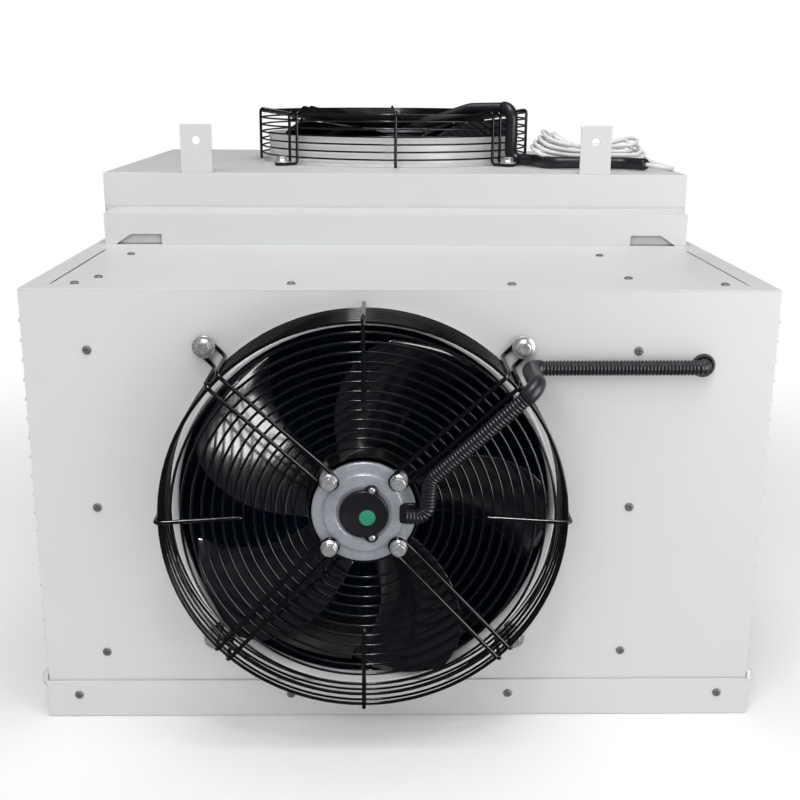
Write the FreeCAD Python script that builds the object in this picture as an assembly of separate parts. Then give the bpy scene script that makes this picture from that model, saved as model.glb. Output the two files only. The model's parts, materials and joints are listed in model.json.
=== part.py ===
import FreeCAD, Part
import math
import os

# Wine cellar cooling unit of the through-the-wall kind. The cold section hangs in front of the wall and
# the warm section stands behind it. X is to the right, Y goes back through the wall, Z is up.
# The origin is on the underside, at the middle of the width, where the two sections meet.
# All sizes are in millimetres.

V = FreeCAD.Vector

# Casing
BODY_WIDTH = 720.0
SHEET = 1.5
FIT_GAP = 0.3
COLD_DEPTH = 370.0
COLD_HEIGHT = 447.0
WARM_DEPTH = 500.0
DECK_HEIGHT = 526.0
LID_SKIRT = 40.0
RETURN_FLANGE = 22.0
BULKHEAD_DEPTH = 50.0
PAN_FLANGE = 30.0

# Raised cover over the joint of the two sections
BRIDGE_WIDTH = 694.0
BRIDGE_DEPTH = 65.0
BRIDGE_HEIGHT = 37.0
BRIDGE_NOTCH_HEIGHT = 12.0
BRIDGE_NOTCH_EDGE = 13.0
BRIDGE_NOTCH_SLANT = 18.0
BRIDGE_NOTCH_LENGTH = 36.0

# Drip tray
TRAY_HEIGHT = 40.0
TRAY_PROUD = 2.3
TRAY_SCREW_HEIGHT = 24.5
TRAY_SCREW_INSET = 30.0
TRAY_SCREW_INNER = 112.0
FACE_SCREW_Z = (72.0, 229.0, 388.0)
TOP_SCREW_BACK = 28.0
PLATE_SCREW_BACK = (64.0, 220.0)
BODY_FOOT = 12.0
THUMB_SCREW_BACK = 12.0
THUMB_SCREW_RISE = 6.0
THUMB_SCREW_RADIUS = 9.0
THUMB_SCREW_LENGTH = 7.0
DRAIN_RADIUS = 8.0
DRAIN_BORE = 6.0
DRAIN_INSET = 60.0
DRAIN_RUN_RADIUS = 7.2
DRAIN_RISE = 14.0
DRAIN_SPOUT = 26.0
DRAIN_STEP = 2.0
DRAIN_SIDES = 10

# Loose side panels with pressed louvres
SIDE_FLANGE_START = 20.0
SIDE_FLANGE_LENGTH = 242.0
SEAM_GAP = 2.4
SEAM_MITRE = 9.0
LOUVRE_PITCH = 19.5
LOUVRE_COUNT = 18
LOUVRE_FIRST = 82.0
LOUVRE_LENGTH = 240.0
LOUVRE_RISE = 10.0
LOUVRE_STAND = 5.0
LOUVRE_EDGE = 9.0

# Evaporator coil between its two end plates
COIL_SPAN = 526.0
PLATE_FLANGE = 18.0
PLATE_DEPTH = 250.0
COIL_START = 130.0
COIL_DEPTH = 100.0
COIL_FOOT = 46.0
COIL_TOP_GAP = 6.0
TUBE_RADIUS = 4.8
BEND_REACH = 28.0
BEND_PITCH = 50.0
BENDS = 4
FIN_RIB_PITCH = 37.0
FIN_RIB_WIDTH = 25.0
FIN_GROOVE_DEPTH = 10.0

# Fans, alike on both sections. Heights are measured out from the sheet that carries the fan.
FAN_X = -36.0
FAN_HEIGHT = 240.5
DECK_FAN_BACK = 285.0
THROAT_RADIUS = 178.5
COLLAR_HEIGHT = 38.0
COLLAR_FLARE = 3.0
COLLAR_FLARE_HEIGHT = 9.0
COLLAR_FOOT = 6.0
COLLAR_SIDES = 24
TIP_GAP = 5.0
BLADES = 5
BLADE_THICKNESS = 1.6
BLADE_LOW = 7.0
BLADE_CLEAR = 14.0
BLADE_ROOT_SIDES = 3
BLADE_TIP_CHORD = 112.0
BLADE_CAMBER = 0.07
BLADE_SWEEP = -22.0
BLADE_SWEEP_POWER = 2.2
BLADE_START = 6.0
GUARD_RADIUS = 190.0
GUARD_HEIGHT = 71.0
ARM_WIRE = 4.0
RING_WIRE = 2.4
GUARD_SIDES = 12
INNER_SIDES = 8
INNER_RINGS = 5
GUARD_PCD = 429.3
GUARD_INNER_RING = 62.0
GUARD_RING_PITCH = 9.5
GUARD_RIM_INSET = 1.0
CAGE_RING_PITCH = 9.8
ARM_HALF_SPACING = 7.5
ARM_EYE = 8.0
SPOKE_LENGTH = 76.0
WELD_GAP = 0.05
FOOT_WASHER_RADIUS = 11.0
FOOT_WASHER_THICKNESS = 2.0
MOTOR_WASHER_RADIUS = 9.4
SHANK_RADIUS = 3.0
HEX_RADIUS = 7.5
HEX_HEIGHT = 6.5

# Outer-rotor fan motors
MOTOR_FACE = 48.0
MOTOR_PCD = 93.0
COVER_EAR_ANGLE = 72.0
COVER_RADIUS = 50.0
COVER_THICKNESS = 9.0
LUG_RADIUS = 9.0
ROTOR_RADIUS = 55.0
ROTOR_SIDES = 20
ROTOR_WALL = 3.0
ROTOR_LENGTH = 68.0
ROTOR_GAP = 2.0
STACK_GAP = 1.0
SHAFT_RADIUS = 6.0
SHAFT_CLEARANCE = 0.03
SHAFT_SIDES = 16
BEARING_WALL = 5.0
CAP_RADIUS = 23.5
CAP_HEIGHT = 6.0
CAP_EAR_RADIUS = 5.0

# Condenser, compressor set and controls in the warm section
WINDOW_SIDE = 60.0
WINDOW_LOW = 60.0
WINDOW_HIGH = 430.0
CONDENSER_DEPTH = 66.0
CONDENSER_SET_BACK = 8.0
CONDENSER_MARGIN = 50.0
CONDENSER_FOOT = 30.0
CONDENSER_TOP_GAP = 16.0
COMPRESSOR_RADIUS = 78.0
COMPRESSOR_HEIGHT = 215.0
COMPRESSOR_INSET = 170.0
COMPRESSOR_Y = 160.0
COMPRESSOR_FEET_HEIGHT = 16.0
COMPRESSOR_FEET_SPACING = 150.0
COMPRESSOR_FOOT_RADIUS = 12.0
DRIER_RADIUS = 19.0
DRIER_LENGTH = 110.0
DRIER_X = -40.0
CONTROL_BOX = (130.0, 150.0, 170.0)
CONTROL_BOX_INSET = 155.0
PIPE_RADIUS = 5.0
SUCTION_RADIUS = 8.0
PIPE_INSET = 75.0
SUCTION_RISE = 300.0
PIPE_SPACING = 40.0
PIPE_CLEARANCE = 0.2

# Wall ears
EAR_SPACING = 490.0
EAR_WIDTH = 38.0
EAR_RISE = 58.5
EAR_THICKNESS = 3.0
EAR_HOLE_RADIUS = 5.0
EAR_HOLE_RISE = 39.0
EAR_LEG = 34.0

# Conduits and the free lead
CONDUIT_RADIUS = 7.5
CONDUIT_SIDES = 8
CONDUIT_BEND = 17.0
CONDUIT_INLET_BEND = 12.0
CONDUIT_HOLE_BEND = 7.6
DECK_CONDUIT_BEND = 23.0
SLEEVE_WALL = 0.8
GROMMET_RADIUS = 11.5
GROMMET_BORE = 9.0
GROMMET_STAND = 2.2
GROMMET_INSET = 70.0
GROMMET_Z = 374.0
DECK_CONDUIT_ROUTE = ((189.5, 135.5), (202.0, 92.0), (300.0, 85.0), (322.0, 60.0))
LEAD_RADIUS = 2.5
LEAD_ROUTE = ((322.3, 59.7, 534.6), (331.5, 49.2, 533.5), (345.9, 48.4, 531.5), (356.4, 58.2, 529.6),
              (356.9, 73.0, 529.4), (350.0, 92.0, 531.0), (339.5, 112.4, 534.5))
LEAD_SIDES = 4
HANK_Y = 130.0
HANK_STATIONS = ((180.0, 10.0, 21.0, 38.0), (200.0, 22.0, 19.0, 48.0), (222.0, 28.0, 0.3, 52.0),
                 (285.0, 28.0, 0.3, 54.0), (325.0, 25.0, 0.3, 46.0), (345.0, 14.0, 0.3, 30.0))

# Places that follow from the sizes above
HALF = BODY_WIDTH / 2
TRAY_SCREW_X = (TRAY_SCREW_INSET - HALF, -TRAY_SCREW_INNER, TRAY_SCREW_INNER, HALF - TRAY_SCREW_INSET)
DRAIN_X = HALF - DRAIN_INSET
PIPE_X = HALF - PIPE_INSET
LIQUID_RISE = SUCTION_RISE + PIPE_SPACING
COMPRESSOR_X = COMPRESSOR_INSET - HALF
CONTROL_BOX_X = HALF - CONTROL_BOX_INSET
GROMMET_X = HALF - GROMMET_INSET
FACE_Y = -COLD_DEPTH
LID_LOW = DECK_HEIGHT - LID_SKIRT
BRIDGE_TOP = COLD_HEIGHT + BRIDGE_HEIGHT
FRONT_FAN = (V(FAN_X, FACE_Y, FAN_HEIGHT), FreeCAD.Rotation(V(1, 0, 0), 90))
DECK_FAN = (V(0, DECK_FAN_BACK, DECK_HEIGHT), FreeCAD.Rotation())
QUARTERS = (45, 135, 225, 315)
UPRIGHT = V(0, 0, 1)


# Shapes that are used again and again

def block(x0, x1, y0, y1, z0, z1):
    """A box between two corners."""
    return Part.makeBox(x1 - x0, y1 - y0, z1 - z0, V(x0, y0, z0))


def joined(shapes):
    """One solid from pieces that touch or overlap."""
    return shapes[0].multiFuse(shapes[1:]).removeSplitter()


def group(solids):
    """Separate solids that share a node."""
    return Part.makeCompound(solids)


def prism(corners, direction):
    """A flat outline pushed along a direction."""
    return Part.Face(Part.makePolygon(corners + corners[:1])).extrude(direction)


def both_sides(piece):
    """A piece and its mirror image across the middle of the width."""
    return [piece, piece.mirror(V(0, 0, 0), V(1, 0, 0))]


def faceted(faces):
    """A closed solid from flat faces, each a list of corners."""
    sides = [Part.Face(Part.makePolygon(corners + corners[:1])) for corners in faces]
    solid = Part.makeSolid(Part.makeShell(sides))
    if solid.Volume < 0:
        solid.reverse()
    return solid


def turned(profile, sides):
    """A turned piece about Z with flat facets, from a closed outline of (radius, height)."""
    faces = []
    for step in range(sides):
        angles = [2 * math.pi * (step + shift) / sides for shift in (-0.5, 0.5)]
        for start, end in zip(profile, profile[1:] + profile[:1]):
            ring = []
            for (radius, height), angle in ((start, angles[0]), (end, angles[0]), (end, angles[1]),
                                            (start, angles[1])):
                corner = V(radius * math.cos(angle), radius * math.sin(angle), height)
                if not any((corner - other).Length < 1e-6 for other in ring):
                    ring.append(corner)
            if len(ring) > 2:
                faces.append(ring)
    return faceted(faces).removeSplitter()


def bar(points, thickness, sides=4, closed=False):
    """A bar of regular section with mitred corners along straight runs."""
    count = len(points)
    runs = [(points[(i + 1) % count] - points[i]).normalize() for i in range(count if closed else count - 1)]
    radius = thickness / 2 / math.cos(math.pi / sides)
    flat = runs[0].cross(UPRIGHT)
    flat = flat.normalize() if flat.Length > 0.1 else V(1, 0, 0)
    section = [points[0] + FreeCAD.Rotation(runs[0], 360 * (k + 0.5) / sides).multVec(flat) * radius
               for k in range(sides)]
    rings = []
    for i in range(count):
        before = runs[i - 1] if closed or i > 0 else runs[0]
        after = runs[i] if i < len(runs) else runs[-1]
        cut = (before + after).normalize()
        along = before if i > 0 else runs[0]
        section = [p + along * ((points[i] - p).dot(cut) / along.dot(cut)) for p in section]
        rings.append(section)
    if closed:
        rings.append(rings[0])
    faces = []
    for first, second in zip(rings, rings[1:]):
        for k in range(sides):
            j = (k + 1) % sides
            faces.append([first[k], first[j], second[j], second[k]])
    if not closed:
        faces += [rings[0], rings[-1]]
    return faceted(faces)


def bored(radius, length, sides=12):
    """A many-sided cutter about Z, whose flats lie at the radius."""
    corner = radius / math.cos(math.pi / sides)
    return turned([(0, 0), (corner, 0), (corner, length), (0, length)], sides)


def along_y(shape, x, y, z):
    """A piece made about Z, laid along Y from a point."""
    shape.Placement = FreeCAD.Placement(V(x, y, z), FreeCAD.Rotation(V(1, 0, 0), -90))
    return shape


def bent(points, radii, radius, sides):
    """A many-sided hose whose corners are rounded by short straight runs along each arc."""
    path = [points[0]]
    for before, corner, after, bend in zip(points, points[1:], points[2:], radii):
        back = (before - corner).normalize()
        ahead = (after - corner).normalize()
        half = back.getAngle(ahead) / 2
        centre = corner + (back + ahead).normalize() * (bend / math.sin(half))
        start = corner + back * (bend / math.tan(half)) - centre
        turn = math.pi - 2 * half
        steps = max(2, round(turn / math.radians(22.5)))
        axis = back.cross(ahead)
        for step in range(steps + 1):
            path.append(centre + FreeCAD.Rotation(axis, -math.degrees(turn) * step / steps).multVec(start))
    path.append(points[-1])
    return bar(path, 2 * radius * math.cos(math.pi / sides), sides)


def rounded_path(points, radii):
    """A wire of straight runs joined by tangent arcs, one radius for each inner point."""
    edges, start = [], points[0]
    for before, corner, after, radius in zip(points, points[1:], points[2:], radii):
        back = (before - corner).normalize()
        ahead = (after - corner).normalize()
        half = back.getAngle(ahead) / 2
        reach = radius / math.tan(half)
        first, last = corner + back * reach, corner + ahead * reach
        middle = corner + (back + ahead).normalize() * (radius / math.sin(half) - radius)
        if (first - start).Length > 1e-6:
            edges.append(Part.LineSegment(start, first).toShape())
        edges.append(Part.Arc(first, middle, last).toShape())
        start = last
    edges.append(Part.LineSegment(start, points[-1]).toShape())
    return Part.Wire(edges)


def hose(path, radius, sides):
    """A solid hose of many-sided section along a path of straight runs and arcs."""
    edge = path.Edges[0]
    start, ahead = edge.valueAt(edge.FirstParameter), edge.tangentAt(edge.FirstParameter)
    flat = ahead.cross(UPRIGHT).normalize()
    corners = [start + FreeCAD.Rotation(ahead, 360 * k / sides).multVec(flat) * radius for k in range(sides)]
    return path.makePipeShell([Part.makePolygon(corners + corners[:1])], True, False, 1)


def placed(shape, seat):
    """A copy of a fan piece, moved from the fan's own frame to its place on the casing."""
    piece = shape.copy()
    piece.Placement = FreeCAD.Placement(*seat).multiply(piece.Placement)
    return piece


def around(shape, angles):
    """Copies of a shape turned about Z."""
    copies = []
    for angle in angles:
        piece = shape.copy()
        piece.rotate(V(0, 0, 0), UPRIGHT, angle)
        copies.append(piece)
    return copies


def screws(places, outward, head_radius=5.0):
    """Heads of pan-head screws, standing on a surface."""
    shoulder, top = 0.8 * head_radius, 0.6 * head_radius
    head = turned([(0, 0), (head_radius, 0), (shoulder, top), (0, top)], 6)
    made = []
    for place in places:
        piece = head.copy()
        piece.Placement = FreeCAD.Placement(place, FreeCAD.Rotation(UPRIGHT, outward))
        made.append(piece)
    return made


# Casing of the cold section

def fan_opening(seat):
    """A cutter for the round hole that a fan collar lines."""
    reach = 3 * SHEET
    cutter = turned([(0, -reach), (THROAT_RADIUS, -reach), (THROAT_RADIUS, reach), (0, reach)], COLLAR_SIDES)
    return placed(cutter, seat)


def front_panel():
    top = COLD_HEIGHT - SHEET
    face = block(-HALF, HALF, FACE_Y, FACE_Y + SHEET, BODY_FOOT, top)
    shelf = block(RETURN_FLANGE - HALF, HALF - RETURN_FLANGE, FACE_Y, FACE_Y + 2 * RETURN_FLANGE,
                  top - SHEET, top)
    hole = along_y(bored(GROMMET_BORE, 3 * SHEET), GROMMET_X, FACE_Y - SHEET, GROMMET_Z)
    return joined([face, shelf]).cut(group([fan_opening(FRONT_FAN), hole]))


def top_cover():
    """The flat top, notched for the flanges of the loose side panels."""
    low = COLD_HEIGHT - SHEET
    plate = block(-HALF, HALF, FACE_Y, -FIT_GAP, low, COLD_HEIGHT)
    inner, outer = HALF - RETURN_FLANGE - SEAM_GAP, HALF + SHEET
    start = FACE_Y + SIDE_FLANGE_START - SEAM_GAP
    end = FACE_Y + SIDE_FLANGE_START + SIDE_FLANGE_LENGTH + SEAM_GAP
    notch = prism([V(inner, end, low), V(outer, end, low), V(outer, start, low),
                   V(inner + SEAM_MITRE, start, low), V(inner, start + SEAM_MITRE, low)], V(0, 0, SHEET))
    return plate.cut(group(both_sides(notch)))


def louvre():
    """The hood and both cheeks of one pressed louvre, standing out along X and running back along Y."""
    hood = prism([V(0, 0, 0), V(LOUVRE_STAND, 0, -LOUVRE_RISE), V(LOUVRE_STAND - SHEET, 0, -LOUVRE_RISE),
                  V(-SHEET, 0, -SHEET), V(-SHEET, 0, 0)], V(0, LOUVRE_LENGTH, 0))
    cheek = prism([V(0, 0, 0), V(LOUVRE_STAND, 0, -LOUVRE_RISE), V(-SHEET, 0, -LOUVRE_RISE), V(-SHEET, 0, 0)],
                  V(0, SHEET, 0))
    far_cheek = cheek.copy()
    far_cheek.translate(V(0, LOUVRE_LENGTH - SHEET, 0))
    return [hood, cheek, far_cheek]


def cold_side():
    """The right-hand loose side panel, with its mitred top flange and its column of louvres."""
    skin = block(HALF - SHEET, HALF, FACE_Y + SHEET, 0, BODY_FOOT, COLD_HEIGHT - SHEET)
    behind_tray = block(HALF - 2 * SHEET, HALF + SHEET, -BULKHEAD_DEPTH - SHEET - 2 * FIT_GAP, SHEET, 0,
                        TRAY_HEIGHT + FIT_GAP)
    start, low, inner = FACE_Y + SIDE_FLANGE_START, COLD_HEIGHT - SHEET, HALF - RETURN_FLANGE
    end = start + SIDE_FLANGE_LENGTH
    mitre = SEAM_MITRE - (2 - math.sqrt(2)) * SEAM_GAP
    flange = prism([V(inner, end, low), V(HALF, end, low), V(HALF, start, low), V(inner + mitre, start, low),
                    V(inner, start + mitre, low)], V(0, 0, SHEET))
    hoods, slots = [], [behind_tray]
    y = FACE_Y + LOUVRE_EDGE
    for row in range(LOUVRE_COUNT):
        top = LOUVRE_FIRST + LOUVRE_RISE + row * LOUVRE_PITCH
        slots.append(block(HALF - 2 * SHEET, HALF + SHEET, y + SHEET, y + LOUVRE_LENGTH - SHEET,
                           top - LOUVRE_RISE, top - SHEET))
        for piece in louvre():
            piece.translate(V(HALF, y, top))
            hoods.append(piece)
    return joined([joined([skin, flange]).cut(group(slots))] + hoods)


def drain_run(length):
    """The many-sided outside of the drain pipe, also the cutter for the hole that holds it."""
    return bored(DRAIN_RUN_RADIUS * math.cos(math.pi / DRAIN_SIDES), length, DRAIN_SIDES)


def drip_tray():
    """A folded pan under the cold section, whose lip stands a little proud of the casing."""
    out, inside = HALF + TRAY_PROUD, HALF + TRAY_PROUD - SHEET
    front, back = FACE_Y - TRAY_PROUD, -BULKHEAD_DEPTH - FIT_GAP
    pan = block(-out, out, front, back, 0, TRAY_HEIGHT)
    hollow = block(-inside, inside, front + SHEET, back - SHEET, SHEET, TRAY_HEIGHT)
    drain = along_y(drain_run(3 * SHEET), DRAIN_X, back - 2 * SHEET, DRAIN_RISE)
    return pan.cut(group([hollow, drain]))


def tray_screws():
    """Screws along the lip of the drip tray."""
    return screws([V(x, FACE_Y - TRAY_PROUD, TRAY_SCREW_HEIGHT) for x in TRAY_SCREW_X], V(0, -1, 0))


def tray_thumb_screws():
    """Plastic thumb screws that hold the tray at both sides, above its lip."""
    knob = turned([(0, 0), (THUMB_SCREW_RADIUS, 0), (THUMB_SCREW_RADIUS, 0.6 * THUMB_SCREW_LENGTH),
                   (0.6 * THUMB_SCREW_RADIUS, THUMB_SCREW_LENGTH), (0, THUMB_SCREW_LENGTH)], 12)
    height = TRAY_HEIGHT - THUMB_SCREW_RADIUS + THUMB_SCREW_RISE
    place = V(HALF + TRAY_PROUD, FACE_Y + THUMB_SCREW_BACK, height)
    knob.Placement = FreeCAD.Placement(place, FreeCAD.Rotation(UPRIGHT, V(1, 0, 0)))
    return group(both_sides(knob))


def face_screws():
    """Screws through the front panel into the flanges of the coil's end plates."""
    return screws([V(x, FACE_Y, z) for x in coil_ends() for z in FACE_SCREW_Z], V(0, -1, 0))


def top_screws():
    """Screws through the top cover into the front shelf and the end plates."""
    front = [V(0.95 * x, FACE_Y + TOP_SCREW_BACK, COLD_HEIGHT) for x in TRAY_SCREW_X]
    plates = [V(x, FACE_Y + y, COLD_HEIGHT) for x in coil_ends() for y in PLATE_SCREW_BACK]
    return screws(front + plates, UPRIGHT)


# Evaporator coil

def coil_ends():
    """X of the middle of both end plates' flanges."""
    return FAN_X - COIL_SPAN / 2, FAN_X + COIL_SPAN / 2


def coil_end_plate(side):
    """An end plate of the coil, folded outwards at the front and the top for its screws."""
    middle = coil_ends()[0 if side < 0 else 1]
    inner = middle - side * PLATE_FLANGE / 2
    low, high = sorted((inner, inner + side * SHEET))
    flange_low, flange_high = sorted((inner, inner + side * PLATE_FLANGE))
    front, back = FACE_Y + SHEET, FACE_Y + PLATE_DEPTH
    top = COLD_HEIGHT - SHEET
    web = block(low, high, front, back, COIL_FOOT, top - SHEET)
    face_flange = block(flange_low, flange_high, front, front + SHEET, COIL_FOOT, top - SHEET)
    shelf_end = FACE_Y + 2 * RETURN_FLANGE
    top_flange = block(flange_low, flange_high, shelf_end, back, top - SHEET, top)
    coil = FACE_Y + COIL_START
    window = block(low - SHEET, high + SHEET, coil + SHEET, coil + COIL_DEPTH - SHEET,
                   COIL_FOOT + PLATE_FLANGE, top - PLATE_FLANGE)
    return joined([web, face_flange, top_flange]).cut(window)


def coil_inner_ends():
    """X of the coil's own ends, just inside its end plates."""
    left, right = coil_ends()
    return left + PLATE_FLANGE / 2 + FIT_GAP, right - PLATE_FLANGE / 2 - FIT_GAP


def fin_block(x0, x1, open_face, back_face, z0, z1):
    """A coil's pack of fins: upright ribs on its open face, with whole ribs at both ends."""
    y0, y1 = sorted((open_face, back_face))
    inward = math.copysign(FIN_GROOVE_DEPTH, back_face - open_face)
    core = block(x0, x1, *sorted((open_face + inward, back_face)), z0, z1)
    pitches = round((x1 - x0 - FIN_RIB_WIDTH) / FIN_RIB_PITCH)
    step = (x1 - x0 - FIN_RIB_WIDTH) / pitches
    ribs = [block(x0 + k * step, x0 + k * step + FIN_RIB_WIDTH, y0, y1, z0, z1) for k in range(pitches + 1)]
    return joined([core] + ribs)


def evaporator_block():
    x0, x1 = coil_inner_ends()
    return fin_block(x0, x1, FACE_Y + COIL_START, FACE_Y + COIL_START + COIL_DEPTH, COIL_FOOT,
                     COLD_HEIGHT - SHEET - COIL_TOP_GAP)


def wall_passages(y, length, clearance):
    """Cutters for the drain and the two pipes, through a wall that starts at y."""
    passages = ((DRAIN_X, DRAIN_RISE, DRAIN_RUN_RADIUS), (PIPE_X, SUCTION_RISE, SUCTION_RADIUS),
                (PIPE_X, LIQUID_RISE, PIPE_RADIUS))
    return group([along_y(bored(radius + clearance, length), x, y, z) for x, z, radius in passages])


def return_bends(x, outward, y, lowest):
    """Hairpin bends that stand out of the end of a coil, one above the other."""
    bends = []
    for row in range(BENDS):
        z = lowest + row * 1.6 * BEND_PITCH
        tip = x + outward * BEND_REACH
        root = x + outward * FIT_GAP
        shoulder = x + outward * 0.75 * BEND_REACH
        far = z + BEND_PITCH
        points = [V(root, y, z), V(shoulder, y, z), V(tip, y, z + BEND_PITCH / 4),
                  V(tip, y, z + BEND_PITCH * 0.75), V(shoulder, y, far), V(root, y, far)]
        bends.append(bar(points, 2 * TUBE_RADIUS, 4))
    return bends


def evaporator_bends():
    x0, x1 = coil_inner_ends()
    y = FACE_Y + COIL_START + COIL_DEPTH / 2
    return group(return_bends(x0, -1, y, COIL_FOOT + PLATE_FLANGE + 20) +
                 return_bends(x1, 1, y, COIL_FOOT + PLATE_FLANGE + 20))


# Fan pieces, in the frame of one fan: Z points out of the sheet

def fan_collar():
    """The drawn ring round the blades, with a small foot on the sheet and a flared outer edge."""
    inner, wall = THROAT_RADIUS, SHEET
    straight = COLLAR_HEIGHT - COLLAR_FLARE_HEIGHT
    outline = [(inner, 0), (inner + COLLAR_FOOT, 0), (inner + wall, COLLAR_FOOT - wall),
               (inner + wall, straight), (inner + wall + COLLAR_FLARE, COLLAR_HEIGHT),
               (inner + COLLAR_FLARE, COLLAR_HEIGHT), (inner, straight)]
    return turned(outline, COLLAR_SIDES)


def dish(radius):
    """Height of the guard's arms: flat over the motor, then sloping outwards to the rim."""
    low = MOTOR_FACE + ARM_WIRE / 2
    return low + (GUARD_HEIGHT - low) * max(radius - GUARD_INNER_RING, 0) / (GUARD_RADIUS - GUARD_INNER_RING)


def wire_ring(radius, height, sides=GUARD_SIDES):
    """A ring of the guard, with a corner on each arm."""
    angles = [math.radians(QUARTERS[0]) + 2 * math.pi * k / sides for k in range(sides)]
    return bar([V(radius * math.cos(angle), radius * math.sin(angle), height) for angle in angles], RING_WIRE,
               4, True)


def leg_radii():
    """How far out the legs of the arms and of the spokes stand, just outside the rings of the cage."""
    half_side = math.pi / GUARD_SIDES
    outside = GUARD_RADIUS + RING_WIRE / 2 / math.cos(half_side)
    arm = outside - (ARM_HALF_SPACING - ARM_WIRE / 2) * math.tan(half_side) + ARM_WIRE / 2 + WELD_GAP
    spoke = outside * math.cos(half_side) + ARM_WIRE / 2 + WELD_GAP
    return arm, spoke


def guard_grille():
    """The front of the guard: rings welded under four double arms and four short spokes."""
    pieces = []
    rim = GUARD_RADIUS - GUARD_RIM_INSET
    rings = int((rim - GUARD_INNER_RING) / GUARD_RING_PITCH) + 1
    for index in range(rings):
        radius = rim - index * GUARD_RING_PITCH
        sides = INNER_SIDES if index >= rings - INNER_RINGS else GUARD_SIDES
        under_arm = radius - (ARM_HALF_SPACING + ARM_WIRE) * math.tan(math.pi / sides)
        pieces.append(wire_ring(radius, dish(under_arm) - (ARM_WIRE + RING_WIRE) / 2 - WELD_GAP, sides))
    arm_out, spoke_out = [reach + ARM_WIRE / 2 for reach in leg_radii()]
    half, eye, flat = ARM_HALF_SPACING, MOTOR_PCD / 2 - ARM_EYE, GUARD_INNER_RING
    loop = [V(arm_out, -half, dish(arm_out)), V(flat, -half, dish(flat)), V(eye + half, -half, dish(eye)),
            V(eye, -half / 2, dish(eye)), V(eye, half / 2, dish(eye)), V(eye + half, half, dish(eye)),
            V(flat, half, dish(flat)), V(arm_out, half, dish(arm_out))]
    pieces += around(bar(loop, ARM_WIRE), QUARTERS)
    tip = GUARD_RADIUS - SPOKE_LENGTH
    spoke = bar([V(spoke_out, 0, dish(spoke_out)), V(tip, 0, dish(tip))], ARM_WIRE)
    pieces += around(spoke, (0, 90, 180, 270))
    return group(pieces)


def guard_cage():
    """The side of the guard: rings welded inside upright wires that turn outwards into the four feet."""
    arm_out, spoke_out = leg_radii()
    top, foot = dish(arm_out - ARM_WIRE) - ARM_WIRE / 2 - WELD_GAP, ARM_WIRE / 2
    half, eye = ARM_HALF_SPACING, GUARD_PCD / 2 + ARM_EYE
    rings = int((top - ARM_WIRE) / CAGE_RING_PITCH)
    pieces = [wire_ring(GUARD_RADIUS, top - (index + 1) * CAGE_RING_PITCH) for index in range(rings)]
    leg = [V(arm_out, -half, top), V(arm_out, -half, foot), V(eye - half, -half, foot),
           V(eye, -half / 2, foot), V(eye, half / 2, foot), V(eye - half, half, foot),
           V(arm_out, half, foot), V(arm_out, half, top)]
    pieces += around(bar(leg, ARM_WIRE), QUARTERS)
    stay_top = dish(spoke_out - ARM_WIRE) - ARM_WIRE / 2 - WELD_GAP
    stay = bar([V(spoke_out, 0, stay_top), V(spoke_out, 0, 0)], ARM_WIRE)
    pieces += around(stay, (0, 90, 180, 270))
    return group(pieces)


def hex_head(washer_radius, washer_thickness):
    """A bolt with a hexagon head on its washer, whose shank fills the wire's eye below z = 0."""
    washer = turned([(0, 0), (washer_radius, 0), (washer_radius, washer_thickness), (0, washer_thickness)], 8)
    head = turned([(0, washer_thickness), (HEX_RADIUS, washer_thickness),
                   (HEX_RADIUS, washer_thickness + HEX_HEIGHT), (0, washer_thickness + HEX_HEIGHT)], 6)
    shank = turned([(0, -ARM_WIRE), (SHANK_RADIUS, -ARM_WIRE), (SHANK_RADIUS, 0), (0, 0)], 6)
    return joined([washer, head, shank])


def guard_bolts():
    """The bolts through the four feet of the guard."""
    bolt = hex_head(FOOT_WASHER_RADIUS, FOOT_WASHER_THICKNESS)
    bolt.translate(V(GUARD_PCD / 2, 0, ARM_WIRE))
    return group(around(bolt, QUARTERS))


def motor_bolts():
    """The bolts that hang the motor under the inner ends of the arms."""
    bolt = hex_head(MOTOR_WASHER_RADIUS, FOOT_WASHER_THICKNESS)
    bolt.translate(V(MOTOR_PCD / 2, 0, MOTOR_FACE + ARM_WIRE))
    return group(around(bolt, QUARTERS))


def motor_stator():
    """The fixed half of the motor: stepped cover with bolt lugs, winding stack and bearing tube."""
    face, back = MOTOR_FACE, MOTOR_FACE - COVER_THICKNESS
    step = COVER_THICKNESS / 4
    cover = turned([(0, back), (COVER_RADIUS, back), (COVER_RADIUS, face - 2 * step),
                    (COVER_RADIUS - step, face - step), (0.8 * COVER_RADIUS, face - step),
                    (0.76 * COVER_RADIUS, face), (0.62 * COVER_RADIUS, face),
                    (0.58 * COVER_RADIUS, face - step), (0, face - step)], 16)
    lug = turned([(0, back), (LUG_RADIUS, back), (LUG_RADIUS, face), (0, face)], 8)
    lug.translate(V(MOTOR_PCD / 2, 0, 0))
    stack_radius = ROTOR_RADIUS - ROTOR_WALL - STACK_GAP
    low = back - ROTOR_LENGTH + 2 * ROTOR_WALL + ROTOR_GAP
    stack_low, stack_top = low + ROTOR_WALL, back - 2 * ROTOR_GAP
    stack = turned([(0, stack_low), (stack_radius, stack_low), (stack_radius, stack_top), (0, stack_top)], 16)
    tube_radius = SHAFT_RADIUS + SHAFT_CLEARANCE + BEARING_WALL
    tube = turned([(0, low), (tube_radius, low), (tube_radius, back), (0, back)], 8)
    bore = bored(SHAFT_RADIUS + SHAFT_CLEARANCE, back - low - BEARING_WALL, SHAFT_SIDES)
    bore.translate(V(0, 0, low))
    return joined([cover, stack, tube] + around(lug, QUARTERS)).cut(bore)


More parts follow.
